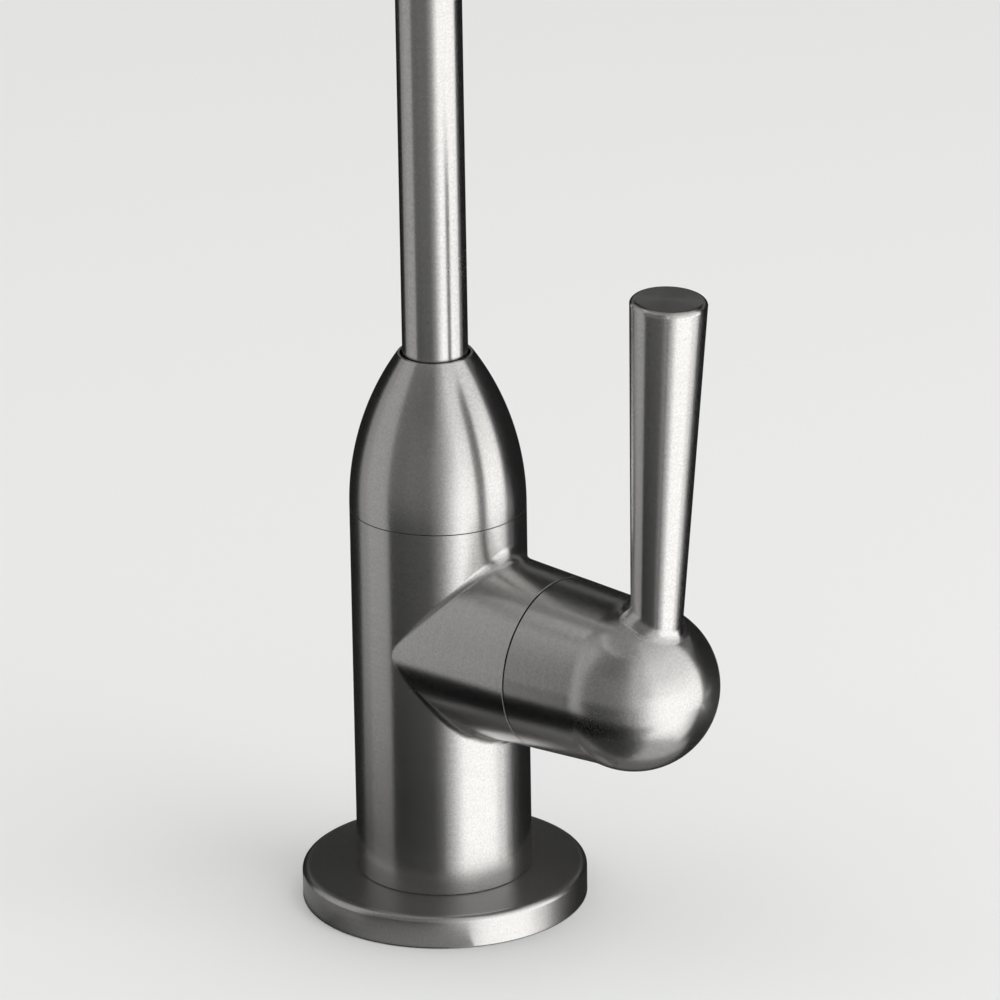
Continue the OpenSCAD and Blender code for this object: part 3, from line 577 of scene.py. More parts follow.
for step in range(fillet_steps + 1):
    f = step / fillet_steps
    d = blend_unit(to_body, to_boss, f)
    p = c + boss_fillet(t) * d
    axis = blend_unit(z_way + 0 * t, x_way + 0 * t, f)
    outer = body.grow(outer, p, -d, axis, (1 - f) * (grid_run + p[2]) + f * p[0])
edge_round = 0.06
for step in range(1, flank_steps + 1):
    x = station + (boss_reach - edge_round - station) * step / flank_steps
    p, n = boss_point(x, t), boss_normal(x, t)
    outer = body.grow(outer, p, n, x_way, p[0])
radial = np.array([0 * t, np.sin(t), np.cos(t)])
for step in range(1, edge_steps + 1):
    a = math.pi / 2 * step / edge_steps
    q = p + edge_round * (math.sin(a) * x_way - (1 - math.cos(a)) * radial)
    outer = body.grow(outer, q, math.cos(a) * n + math.sin(a) * x_way,
                      math.cos(a) * x_way - math.sin(a) * radial, q[0])
for x, r, nx, nr in ((boss_reach, cartridge_bore_r + 0.3, 1, 0),
                     (boss_reach - 0.1, cartridge_bore_r + 0.1, 0.7, -0.7),
                     (boss_reach - 0.4, cartridge_bore_r, 0, -1),
                     (cartridge_floor_x + 0.1, cartridge_bore_r, 0, -1),
                     (cartridge_floor_x, cartridge_bore_r - 0.1, 1, 0)):
    outer = body.grow(outer, x * x_way + r * radial + handle_z * z_way, nx * x_way + nr * radial,
                      nx * radial - nr * x_way, x + r)
body.fan(outer, body.add((cartridge_floor_x, 0, handle_z), (1, 0, 0), (0, 0, 1), cartridge_floor_x))
stand_for(body.finish("pillar_body", satin_nickel), "body", "tap")

# Spout cap
# Bullet-shaped ring nut, turned brass plated satin nickel. It screws onto the body's neck and keeps the
# spout's collar and its plastic bush down; its thin top rim stands just clear of the tube.
cap_foot, cap_top, rim_r, rim_bore_r = 64.6, 89.0, 5.75, 5.35
shadow_r, shadow_top, cap_bore_r, bush_room_r = 12.8, 64.41, 9.55, 8.05
bush_room_floor, bush_top = 77.0, 80.5
ogive_gap, ogive_count = 0.003, 64
cap_in = body_r - rim_r
ogive_r = ((cap_top - cap_foot) ** 2 + cap_in ** 2) / (2 * cap_in)
sweep = math.asin((cap_top - cap_foot) / ogive_r)
ogive = [(body_r - ogive_r * (1 - math.cos(a)), cap_foot + ogive_r * math.sin(a), math.cos(a), math.sin(a))
         for a in np.linspace(0, sweep - ogive_gap, ogive_count)]
turned_piece("bullet_cap", "spout_cap", "tap",
             [(cap_bore_r, cap_seam_z, 0.1), (shadow_r - 0.2, cap_seam_z, 0.05), (shadow_r, shadow_top, 0.05),
              (body_r, shadow_top, 0.04), ogive, (rim_r, cap_top, 0.1), (rim_bore_r, cap_top, 0.08),
              (rim_bore_r, bush_top, 0.1), (bush_room_r, bush_top, 0.1), (bush_room_r, bush_room_floor, 0.1),
              (cap_bore_r, bush_room_floor, 0.1)], satin_nickel, 192)

# Spout tube
# Swan neck bent from drawn 10 mm brass tube with a 1 mm wall and plated satin nickel: a straight riser, a
# half circle and a short drop. It is soldered into a foot that turns in the body.
neck, given, result = new_group(
    "Swan neck", "GeometryNodeTree",
    [("Foot Height", "Float"), ("Bend Height", "Float"), ("Reach", "Float"), ("Drop", "Float"),
     ("Radius", "Float"), ("Stations", "Int"), ("Sides", "Int"), ("Material", "Material")],
    [("Geometry", "Geometry")])
number = partial(maths, neck)
rise_l = number("SUBTRACT", given["Bend Height"], given["Foot Height"])
bend_r = number("DIVIDE", given["Reach"], 2.0)
bend_l = number("MULTIPLY", bend_r, math.pi)
whole = number("ADD", number("ADD", rise_l, bend_l), given["Drop"])
station_on = add_node(neck, "GeometryNodeInputIndex")[0]
share = number("DIVIDE", station_on, number("SUBTRACT", given["Stations"], 1.0))
run = number("MULTIPLY", share, whole)
past_rise = number("SUBTRACT", run, rise_l)
on_bend = number("MINIMUM", number("MAXIMUM", past_rise, 0.0), bend_l)
past_bend = number("MAXIMUM", number("SUBTRACT", past_rise, bend_l), 0.0)
angle = number("DIVIDE", on_bend, bend_r)
climbed = number("ADD", given["Foot Height"], number("MINIMUM", run, rise_l))
climbed = number("ADD", climbed, number("MULTIPLY", number("SINE", angle), bend_r))
height = number("SUBTRACT", climbed, past_bend)
out = number("MULTIPLY", number("SUBTRACT", number("COSINE", angle), 1.0), bend_r)
line = add_node(neck, "GeometryNodeMeshLine", {"Count": given["Stations"]})[0]
spot = add_node(neck, "ShaderNodeCombineXYZ", {"Y": out, "Z": height})[0]
bent = add_node(neck, "GeometryNodeSetPosition", {"Geometry": line, "Position": spot})[0]
path = add_node(neck, "GeometryNodeMeshToCurve", {0: bent})[0]
tangent = add_node(neck, "GeometryNodeInputTangent")[0]
length = add_node(neck, "GeometryNodeSplineParameter")["Length"]
for label, sort, value in (("across_grain", "FLOAT_VECTOR", tangent), ("grain_station", "FLOAT", length)):
    path = add_node(neck, "GeometryNodeStoreNamedAttribute",
                    {"Geometry": path, "Name": label, "Value": value}, data_type=sort)[0]
circle = add_node(neck, "GeometryNodeCurvePrimitiveCircle",
                  {"Resolution": given["Sides"], "Radius": given["Radius"]})[0]
tube = add_node(neck, "GeometryNodeCurveToMesh", {"Curve": path, "Profile Curve": circle})[0]
smooth = add_node(neck, "GeometryNodeSetShadeSmooth", {0: tube})[0]


def end_tree(tree, mesh, given, result):
    """Every tree ends alike: its copies are made real and the finish is put on."""
    real = add_node(tree, "GeometryNodeRealizeInstances", {0: mesh})[0]
    dressed = add_node(tree, "GeometryNodeSetMaterial", {"Geometry": real, "Material": given["Material"]})[0]
    feed(tree, result, {"Geometry": dressed})


end_tree(neck, smooth, given, result)


def made_plain(piece, creased=None):
    """Makes a plain mesh of what a piece's modifiers give, with an edge where faces meet more steeply."""
    bpy.context.view_layer.update()
    mesh = bpy.data.meshes.new_from_object(piece.evaluated_get(bpy.context.evaluated_depsgraph_get()))
    mesh.name = piece.name
    piece.modifiers.clear()
    piece.data = mesh
    if creased is not None:
        mesh.set_sharp_from_angle(angle=math.radians(creased))


def grown(name, tree, creased=None, start=None, **sizes):
    """A plain mesh grown by a node tree, from a start mesh if it needs one. Its inputs are set by name."""
    piece = placed(name, start or bpy.data.meshes.new(name + " start"))
    modifier = piece.modifiers.new("grow", "NODES")
    modifier.node_group = tree
    identifiers = {item.name: item.identifier for item in tree.interface.items_tree}
    for label, value in sizes.items():
        modifier[identifiers[label.replace("_", " ")]] = value
    made_plain(piece, creased)
    return piece


spout_reach = 115
swan_neck = grown("spout_swan_neck", neck, Foot_Height=0.06605, Bend_Height=0.205, Reach=spout_reach / 1000,
                  Drop=0.028, Radius=0.005, Stations=360, Sides=96, Material=satin_nickel)
wall = swan_neck.modifiers.new("wall", "SOLIDIFY")
wall.thickness = 0.001
wall.offset = -1
made_plain(swan_neck, creased=40)
stand_for(swan_neck, "spout_tube", "spout")

# Outlet
# Short sleeve soldered over the tube's end, with an inturned lip that holds the straightener's seven holes.
lip_r, sleeve_r, sleeve_bore_r = 4.4, 6.0, 5.05
sleeve_foot, lip_top, sleeve_top = 171.4, 172.6, 185.4
turned_piece("outlet_sleeve", "outlet_nozzle", "spout",
             [(lip_r, sleeve_foot, 0.2), (sleeve_r, sleeve_foot, 0.35), (sleeve_r, sleeve_top, 0.35),
              (sleeve_bore_r, sleeve_top, 0.08), (sleeve_bore_r, lip_top, 0.05), (lip_r, lip_top, 0.05)],
             satin_nickel, 96, steps=5, move=(0, -spout_reach, 0))

# Handle
# Hub, ball and lever cast in one in zinc and plated satin nickel. The hub tapers from the boss's seam, swells
# through a hollow blend into a ball, and a cone-shaped lever grows out of the ball with a fillet at its foot.
hub_x, hub_l, ball_r, blend_r = 23.6, 14.5, 12.92, 9.0
taper = math.radians(2.9)
ball_x = hub_x + hub_l
# A circle of the blend's radius touches the hub's cone and the ball from outside, at cone_end and ball_start
k = math.tan(taper)
q = boss_r + blend_r / math.cos(taper)
m = 1 + k * k
half_b = q * k + hub_l
h = (half_b - math.sqrt(half_b ** 2 - m * (q * q + hub_l ** 2 - (ball_r + blend_r) ** 2))) / m
blend_c = Vector((q - k * h, h))
cone_end = blend_c - blend_r * Vector((math.cos(taper), math.sin(taper)))
ball_start = blend_c + (Vector((0, hub_l)) - blend_c) * blend_r / (ball_r + blend_r)
cone_l = (cone_end - Vector((boss_r, 0))).length
blend_sweep = (math.atan2(ball_start.y - blend_c.y, blend_c.x - ball_start.x)
               - math.atan2(cone_end.y - blend_c.y, blend_c.x - cone_end.x))
blend_l = blend_r * blend_sweep
ball_from = math.atan2(ball_start.x, hub_l - ball_start.y)
ball_l = ball_r * (math.pi - ball_from)
hub_run = cone_l + blend_l + ball_l


def hub_at(v):
    """(radius, station, normal) at length v along the hub's outline, from its face to the ball's tip."""
    if v < cone_l:
        return (boss_r - v * math.sin(taper), hub_x + v * math.cos(taper), math.cos(taper), math.sin(taper))
    if v < cone_l + blend_l:
        a = -taper + (v - cone_l) / blend_r
        return (blend_c.x - blend_r * math.cos(a), hub_x + blend_c.y + blend_r * math.sin(a), math.cos(a),
                -math.sin(a))
    a = min(math.pi, ball_from + (v - cone_l - blend_l) / ball_r)
    return (ball_r * math.sin(a), ball_x - ball_r * math.cos(a), math.sin(a), -math.cos(a))


def on_ball(points):
    """Turn about the hub and length along its outline of points on its ball."""
    x, y, up = points[0], points[1], points[2] - handle_z
    past_blend = (np.arctan2(np.hypot(y, up), ball_x - x) - ball_from) * ball_r
    return np.arctan2(-y, up), cone_l + blend_l + past_blend


def sideways(r, h, a, is_point):
    return (h, -r * np.sin(a), r * np.cos(a) + (handle_z if is_point else 0))


lean = math.radians(3.1)
lever_x, lever_l, lever_fillet = ball_x + 3.8, 63.5, 2.6
lever_root, lever_end, lever_round = 3.5, 5.85, 0.9
lever_k = (lever_end - lever_root) / lever_l
lever_way = np.array([[math.sin(lean)], [0], [math.cos(lean)]])
lever_base = lever_x * x_way + handle_z * z_way
ball_c = ball_x * x_way + handle_z * z_way


def lever_out(a):
    return np.array([math.cos(lean) * np.cos(a), np.sin(a), -math.sin(lean) * np.cos(a)])


def lever_normal(a):
    n = lever_out(a) - lever_k * lever_way
    return n / np.linalg.norm(n, axis=0)


def lever_point(s, a):
    return lever_base + s * lever_way + (lever_root + lever_k * s) * lever_out(a)


def lever_roll(a):
    """Where a ball of the fillet's radius rests on lever and ball end at once: its height and its centre."""

    def centre(s):
        return lever_point(s, a) + lever_fillet * lever_normal(a)

    s = halved(np.zeros_like(a), np.full_like(a, 40.0),
               lambda s: np.linalg.norm(centre(s) - ball_c, axis=0) > ball_r + lever_fillet)
    return s, centre(s)


handle = Shell()
stem_socket_r, stem_socket_end, hub_room_r, hub_room_end = 3.95, 40.45, 11.0, 30.85
start_v, steps_v, turns = 0.08, 72, 192
outline_v = [start_v + (hub_run - start_v) * i / steps_v for i in range(steps_v + 1)]
outline = [hub_at(v) for v in outline_v[:-1]] + [(0, ball_x + ball_r, 0, 1)]
handle_section = section([
    [(0, stem_socket_end, 0, -1)], (stem_socket_r, stem_socket_end, 0.1), (stem_socket_r, hub_room_end, 0.1),
    (hub_room_r, hub_room_end, 0.1), (hub_room_r, hub_x, 0.15), (boss_r, hub_x, 0.06), outline])
first = len(handle_section) - len(outline)


def window_round(loop_v, loop_turn, spare, room=0.3):
    """Rows and half width of an opening in the hub's grid that leaves room all round a loop."""
    row0 = max(i for i in range(steps_v) if outline_v[i] < loop_v.min() - room)
    row1 = min(i for i in range(steps_v) if outline_v[i] > loop_v.max() + room)
    return first + row0, first + row1, int(math.ceil(abs(loop_turn).max() / (2 * math.pi / turns))) + spare


loop_a = np.linspace(0, 2 * math.pi, 721)
_, c = lever_roll(loop_a)
loop_turn, loop_v = on_ball(ball_c + ball_r * (c - ball_c) / np.linalg.norm(c - ball_c, axis=0))
top0, top1, half_top = window_round(loop_v, loop_turn, 3)

grub_x, grub_r, grub_mouth, grub_floor = 35.5, 2.05, 0.15, 40.0
loop_b = np.linspace(0, 2 * math.pi, 361)
table_v = np.linspace(0, hub_run - 3, 2000)
table_x = np.array([hub_at(v)[1] for v in table_v])


def grub_rim(b, r):
    """Points of the screw's round hole where it breaks out of the hub's underside."""
    x, y = grub_x + r * np.cos(b), r * np.sin(b)
    v = np.interp(x, table_x, table_v)
    radius = np.array([hub_at(w)[0] for w in v])
    return v, np.arcsin(y / radius)


rim_v, rim_turn = grub_rim(loop_b, grub_r + grub_mouth)
low0, low1, half_low = window_round(rim_v, rim_turn, 2)
windows = ((top0, top1, -half_top, half_top), (low0, low1, turns // 2 - half_low, turns // 2 + half_low))
rings, (top_edge, low_edge) = turned(handle, handle_section, turns, sideways, windows)
hub_run_start = handle.along[rings[first][0]] - start_v


def edge_places(edge):
    """Turns and lengths along the outline of an opening's edge, and its points."""
    return (np.array([2 * math.pi * j / turns for i, j in edge]),
            np.array([outline_v[i - first] for i, j in edge]), [rings[i][j % turns] for i, j in edge])


def close_in(outer, turn0, v0, turn1, v1, steps):
    """Rings on the hub's own surface, from an opening's square edge to where the next surface starts."""
    for step in range(1, steps + 1):
        f = step / steps
        a, v = turn0 * (1 - f) + turn1 * f, v0 * (1 - f) + v1 * f
        r, x, nr, nx = np.array([hub_at(w) for w in v]).T
        outer = handle.grow(outer, sideways(r, x, a, 1), sideways(nr, nx, a, 0), x_way, hub_run_start + v)
    return outer


turn0, v0, outer = edge_places(top_edge)
centre_v = (loop_v.max() + loop_v.min()) / 2
a = match(np.arctan2(v0 - centre_v, turn0 * ball_r),
          np.arctan2(loop_v - centre_v, loop_turn * ball_r), loop_a)
touch, c = lever_roll(a)
to_ball = (ball_c - c) / np.linalg.norm(ball_c - c, axis=0)
outer = close_in(outer, turn0, v0, *on_ball(c + lever_fillet * to_ball), 8)
# The lever's grain stations run on from those of the hub, and its end face has its own
lever_run, end_run = 60, 200
to_lever = -lever_normal(a)
fillet_steps, lever_steps, end_steps = 14, 24, 8
for step in range(1, fillet_steps + 1):
    f = step / fillet_steps
    d = blend_unit(to_ball, to_lever, f)
    p = c + lever_fillet * d
    outer = handle.grow(outer, p, -d, blend_unit(x_way + 0 * a, lever_way + 0 * a, f), lever_run + p[2])
for step in range(1, lever_steps + 1):
    s = touch + (lever_l - lever_round - touch) * step / lever_steps
    p = lever_point(s, a)
    outer = handle.grow(outer, p, lever_normal(a), lever_way, lever_run + p[2])
out = lever_out(a)
for step in range(1, end_steps + 1):
    b = math.pi / 2 * step / end_steps
    p = (lever_base + (lever_l - lever_round * (1 - math.sin(b))) * lever_way
         + (lever_end - lever_round * (1 - math.cos(b))) * out)
    outer = handle.grow(outer, p, math.cos(b) * out + math.sin(b) * lever_way,
                        math.cos(b) * lever_way - math.sin(b) * out, lever_run + p[2])
end_c = lever_base + lever_l * lever_way
for r in (3.6, 2.2, 1.0):
    outer = handle.grow(outer, end_c + r * out, lever_way, out, end_run + r)
handle.fan(outer, handle.add(end_c[:, 0], lever_way[:, 0], (1, 0, 0), end_run))

turn0, v0, outer = edge_places(low_edge)
turn0 = turn0 - math.pi
centre_v = (rim_v.max() + rim_v.min()) / 2
hub_under_r = 12.5
b = match(np.arctan2(v0 - centre_v, turn0 * hub_under_r),
          np.arctan2(rim_v - centre_v, rim_turn * hub_under_r), loop_b)
v1, turn1 = grub_rim(b, grub_r + grub_mouth)
outer = close_in(outer, turn0 + math.pi, v0, turn1 + math.pi, v1, 5)
rim_r_at = np.array([hub_at(v)[0] for v in grub_rim(b, grub_r)[0]])
mouth_z = handle_z - np.sqrt(rim_r_at ** 2 - (grub_r * np.sin(b)) ** 2) + grub_mouth
round_b = np.array([np.cos(b), np.sin(b), 0 * b])
# The hole's wall faces its own middle, and its floor faces down
for r, z, normal, across in ((grub_r, mouth_z, -round_b, z_way), (grub_r, grub_floor - 0.1, -round_b, z_way),
                             (grub_r - 0.1, grub_floor, -z_way, round_b)):
    outer = handle.grow(outer, grub_x * x_way + r * round_b + z * z_way, normal, across, z)
handle.fan(outer, handle.add((grub_x, 0, grub_floor), (0, 0, -1), (1, 0, 0), grub_floor))
stand_for(handle.finish("lever_handle_casting", satin_nickel), "handle", "lever_handle")

# Spout foot, rings and bush
# Brass foot that the tube is soldered into. It turns in the body's neck on two rubber rings, and a white
# acetal bush above its collar keeps the tube off the cap.
foot_bore_r, foot_r, groove_r, collar_r, tube_socket_r = 3.5, 6.5, 5.2, 8.0, 5.05
foot_low, collar_low, collar_top, tube_socket_z = 57.05, 74.55, 76.55, 66.05
groove_half, ring_half = 1, 0.88
ring_places = (("spout_ring_low", "spout_o_ring_lower", 59.65),
               ("spout_ring_high", "spout_o_ring_upper", 62.85))
brass = (0.74, 0.53, 0.24)
turned_brass = surfaced("turned brass", brass, 0.27, 0.4, bump=3.0e-6, line_share=0.8, line_pitch=0.00018,
                        colour_spread=0.12, cloud_size=0.007)
grooves = []
for _, _, z in ring_places:
    low, high = z - groove_half, z + groove_half
    grooves += [(foot_r, low, 0.1), (groove_r, low, 0.15), (groove_r, high, 0.15), (foot_r, high, 0.1)]
turned_piece("spout_turning_foot", "spout_foot", "spout",
             [(foot_bore_r, foot_low, 0.3), (foot_r, foot_low, 0.4), *grooves, (foot_r, collar_low, 0.15),
              (collar_r, collar_low, 0.25), (collar_r, collar_top, 0.25), (tube_socket_r, collar_top, 0.15),
              (tube_socket_r, tube_socket_z, 0.05), (foot_bore_r, tube_socket_z, 0.05)], turned_brass)
for name, node, z in ring_places:
    turned_piece(name, node, "spout",
                 ring_corners(groove_r + 0.02, foot_r, z - ring_half, z + ring_half, 0.5), black_rubber)
white_acetal = surfaced("white acetal", (0.82, 0.82, 0.8), 0.4, bump=3.0e-6, metallic=0.0, specular=0.45,
                        along="Z", line_share=0.3, speckle_size=0.0003, colour_spread=0.08, cloud_size=0.005)
turned_piece("spout_guide_bush", "spout_bush", "tap",
             ring_corners(tube_socket_r, collar_r, 76.6, bush_top, 0.2, 0.3), white_acetal)

# Flow straightener
# Acetal disc pressed into the outlet sleeve on its lip. Six holes round one in the middle calm the water to
# a clear jet.
stamped, given, result = new_group(
    "Stamped plate", "GeometryNodeTree",
    [("Outline Points", "Int"), ("Radius", "Float"), ("Tooth Points", "Int"), ("Tooth Depth", "Float"),
     ("Middle Hole", "Float"), ("Pierced", "Bool"), ("Holes", "Int"), ("Hole Ring", "Float"),
     ("Hole Radius", "Float"), ("Thickness", "Float"), ("Place", "Vector"), ("Material", "Material")],
    [("Geometry", "Geometry")])
number = partial(maths, stamped)


def round_line(points, radius):
    return add_node(stamped, "GeometryNodeCurvePrimitiveCircle", {"Resolution": points, "Radius": radius})[0]


point_on = add_node(stamped, "GeometryNodeInputIndex")[0]
tooth_share = 0.42
tooth_l = number("MULTIPLY", given["Tooth Points"], tooth_share)
shifted = number("ADD", point_on, number("DIVIDE", tooth_l, 2.0))
on_tooth = number("LESS_THAN", number("MODULO", shifted, given["Tooth Points"]), tooth_l)
where_on = add_node(stamped, "GeometryNodeInputPosition")[0]
outward = add_node(stamped, "ShaderNodeVectorMath", {0: where_on}, operation="NORMALIZE")[0]
depth = number("MULTIPLY", on_tooth, given["Tooth Depth"])
push = add_node(stamped, "ShaderNodeVectorMath", {0: outward, "Scale": depth}, operation="SCALE")[0]
outline = round_line(given["Outline Points"], given["Radius"])
toothed = add_node(stamped, "GeometryNodeSetPosition", {"Geometry": outline, "Offset": push})[0]
around = add_node(stamped, "GeometryNodeInstanceOnPoints",
                  {"Points": round_line(given["Holes"], given["Hole Ring"]),
                   "Instance": round_line(32, given["Hole Radius"])})[0]
pierced = add_node(stamped, "GeometryNodeSwitch", {"Switch": given["Pierced"], "True": around},
                   input_type="GEOMETRY")[0]
middle_hole = round_line(48, given["Middle Hole"])
lines = add_node(stamped, "GeometryNodeJoinGeometry", {0: [toothed, middle_hole, pierced]})[0]
single = add_node(stamped, "GeometryNodeRealizeInstances", {0: lines})[0]
blank = add_node(stamped, "GeometryNodeFillCurve", {"Curve": single})[0]
thick = add_node(stamped, "GeometryNodeExtrudeMesh",
                 {"Mesh": blank, "Offset Scale": given["Thickness"], "Individual": False})[0]
under = add_node(stamped, "GeometryNodeFlipFaces", {0: blank})[0]
both_sides = add_node(stamped, "GeometryNodeJoinGeometry", {0: [thick, under]})[0]
closed_up = add_node(stamped, "GeometryNodeMergeByDistance", {"Geometry": both_sides, "Distance": 1e-6})[0]
carried = add_node(stamped, "GeometryNodeTransform",
                   {"Geometry": closed_up, "Translation": given["Place"]})[0]
smooth = add_node(stamped, "GeometryNodeSetShadeSmooth", {0: carried})[0]
end_tree(stamped, smooth, given, result)

straightener = grown("seven_hole_straightener", stamped, 40, Outline_Points=96, Radius=0.00495,
                     Tooth_Points=96, Tooth_Depth=0.0, Middle_Hole=0.0011, Pierced=True, Holes=6,
                     Hole_Ring=0.00315, Hole_Radius=0.0011, Thickness=0.0044,
                     Place=(0, -spout_reach / 1000, lip_top / 1000), Material=white_acetal)
stand_for(straightener, "flow_straightener", "spout")

# Grub screw
# Stainless M4 screw with a hexagon socket, driven up through the hub's underside to hold the handle on its
# stem.
stainless = surfaced("stainless steel", (0.55, 0.56, 0.57), 0.27, bump=3.0e-6, along="Z", line_share=0.8,
                     line_pitch=0.00015, colour_spread=0.14, cloud_size=0.006)
thread, given, result = new_group(
    "Screw thread", "GeometryNodeTree",
    [("Geometry", "Geometry"), ("Middle", "Float"), ("Core Radius", "Float"), ("Pitch", "Float"),
     ("Depth", "Float"), ("From", "Float"), ("To", "Float"), ("Run Out", "Float"), ("Material", "Material")],
    [("Geometry", "Geometry")])
number = partial(maths, thread)


def held(value):
    """The value, kept between 0 and 1."""
    return number("MINIMUM", number("MAXIMUM", value, 0.0), 1.0)


where_on = add_node(thread, "GeometryNodeInputPosition")[0]
x_on, y_on, z_on = add_node(thread, "ShaderNodeSeparateXYZ", {0: where_on})
off_x = number("SUBTRACT", x_on, given["Middle"])
reach = number("SQRT", number("ADD", number("MULTIPLY", off_x, off_x), number("MULTIPLY", y_on, y_on)))
turn_part = number("DIVIDE", number("ARCTAN2", y_on, off_x), 2 * math.pi)
wave = number("FRACT", number("SUBTRACT", number("DIVIDE", z_on, given["Pitch"]), turn_part))
groove = number("ABSOLUTE", number("SUBTRACT", number("MULTIPLY", wave, 2.0), 1.0))
# The crest and the root of the thread are flat for about an eighth of its pitch
flat_share = 0.12
groove = held(number("DIVIDE", number("SUBTRACT", groove, flat_share), 1 - 2 * flat_share))
rise_in = held(number("DIVIDE", number("SUBTRACT", z_on, given["From"]), given["Run Out"]))
fade_out = held(number("DIVIDE", number("SUBTRACT", given["To"], z_on), given["Run Out"]))
cut = number("MULTIPLY", number("MULTIPLY", groove, given["Depth"]), number("MULTIPLY", rise_in, fade_out))
cut = number("MULTIPLY", cut, number("GREATER_THAN", reach, given["Core Radius"]))
cut_share = number("MULTIPLY", number("DIVIDE", cut, number("MAXIMUM", reach, 1e-5)), -1.0)
spoke = add_node(thread, "ShaderNodeCombineXYZ", {"X": off_x, "Y": y_on})[0]
inward = add_node(thread, "ShaderNodeVectorMath", {0: spoke, "Scale": cut_share}, operation="SCALE")[0]
threaded = add_node(thread, "GeometryNodeSetPosition", {"Geometry": given["Geometry"], "Offset": inward})[0]
end_tree(thread, threaded, given, result)


def faceted(rows, across_flats, count=96, middle=0.0):
    """A skin of rings (radius, height, hexagonal or not). A hexagonal ring is the hexagon where its radius
    reaches it."""
    shell = Shell()
    rings = []
    for limit, z, hexed in rows:
        ring = []
        for j in range(count if limit else 1):
            a = 2 * math.pi * j / count
            r = min(limit, across_flats / 2 / math.cos(a % (math.pi / 3) - math.pi / 6)) if hexed else limit
            x, y = math.cos(a), math.sin(a)
            ring.append(shell.add((middle + r * x, r * y, z), (x, y, 0)))
        rings.append(ring)
    for a, b in zip(rings, rings[1:] + (rings[:1] if rows[0][0] else [])):
        if len(a) == 1:
            shell.faces += [(a[0], b[(j + 1) % count], b[j]) for j in range(count)]
        elif len(b) == 1:
            shell.fan(a, b[0])
        else:
            shell.strip(a, b)
    return shell


def threaded_piece(name, rows, across_flats, count, middle, **sizes):
    """A stainless screw with its thread cut by the tree into close rings of points."""
    start = faceted(rows, across_flats, count, middle).finish(name + " start", stainless)
    mesh = start.data
    bpy.data.objects.remove(start)
    return grown(name, thread, 50, mesh, Middle=middle / 1000, Material=stainless, **sizes)


screw_r, screw_low, thread_low, screw_high, socket_top = 1.98, 32.68, 32.9, 40.0, 34.88
screw_rows = [(0, socket_top, True), (0.6, socket_top, True), (1.3, socket_top, True), (1.3, 33.2, True),
              (1.3, screw_low + 0.1, True), (1.42, screw_low, True), (1.7, screw_low, False)]
screw_rows += [(screw_r, thread_low + 0.07 * i, False) for i in range(97)]
screw_rows += [(screw_r, screw_high - 0.35, False)] + [(r, screw_high, False) for r in (1.6, 0.8, 0)]
screw = threaded_piece("handle_socket_screw", screw_rows, 2.0, 48, grub_x, Core_Radius=0.0018, Pitch=0.0007,
                       Depth=0.0003, From=thread_low / 1000, To=0.0397, Run_Out=0.0004)
stand_for(screw, "handle_grub_screw", "lever_handle")

# Cartridge
# Quarter-turn ceramic cartridge screwed into the boss: brass housing and stem, a spring clip, two lapped
# alumina discs and their rubber rings. The stem's fine splines drive the handle.
cast_brass = surfaced("cartridge brass", brass, 0.3, bump=3.0e-6, along="X", line_share=0.8,
                      line_pitch=0.0002, colour_spread=0.14, cloud_size=0.006)
spring_steel = surfaced("spring steel", (0.5, 0.51, 0.53), 0.3, bump=2.0e-6, along="X", line_share=0.2,
                        speckle_size=0.0002, colour_spread=0.2, cloud_size=0.003)
alumina = surfaced("lapped alumina", (0.86, 0.85, 0.81), 0.14, bump=5.0e-7, metallic=0.0, along="X",
                   line_share=0.0, speckle_size=0.0003, colour_spread=0.06, roughness_spread=0.02,
                   cloud_size=0.004)
for node, material in (("cartridge_housing", cast_brass), ("cartridge_stem", cast_brass),
                       ("stem_clip", spring_steel), ("moving_disc", alumina), ("fixed_disc", alumina)):
    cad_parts[node].material_slots[0].material = material
for name, node, body_name, corners, count in (
        ("housing_ring", "cartridge_o_ring", "tap", ring_corners(7.67, 8.94, 10.82, 12.58, 0.5), 128),
        ("stem_ring", "stem_o_ring", "lever_handle", ring_corners(2.72, 3.99, 12.02, 13.78, 0.5), 96),
        ("disc_seat_ring", "disc_seal", "tap", ring_corners(5.5, 6.79, cartridge_floor_x, -2.0, 0.3), 128)):
    turned_piece(name, node, body_name, corners, black_rubber, count, sideways)

# Threaded tail
# Stainless tail screwed into the body from below, with an M12 fine thread rolled along it for the fixing
# nut. Its plain nose takes the inlet nut, and the 6.35 mm water tube pushes into its end.
water_r, tube_hole_r, nose_r, shank_r, clear_r, top_r = 2.75, 3.225, 5.5, 5.78, 6.0, 5.75
tail_low, tail_high, tube_stop, shank_low, shank_high, shoulder_top = -54.0, 16.9, -42.0, -43.6, -8.2, 5.0
tail_rows = [(water_r, tail_high), (water_r, tube_stop), (tube_hole_r, tube_stop),
             (tube_hole_r, tail_low + 0.2), (tube_hole_r + 0.2, tail_low), (nose_r - 0.3, tail_low),
             (nose_r, tail_low + 0.3), (nose_r, shank_low - 0.4)]
tail_rows += [(shank_r, shank_low + 0.125 * i) for i in range(283)]
tail_rows += [(shank_r, shank_high), (clear_r, shank_high + 0.2), (clear_r, shoulder_top - 0.2),
              (top_r, shoulder_top), (top_r, tail_high - 0.2), (top_r - 0.2, tail_high)]
tail = threaded_piece("threaded_shank", [(r, z, False) for r, z in tail_rows], 0, 72, 0.0,
                      Core_Radius=0.00571, Pitch=0.00125, Depth=0.00056, From=shank_low / 1000, To=-0.0083,
                      Run_Out=0.0012)
stand_for(tail, "threaded_tail", "tap")

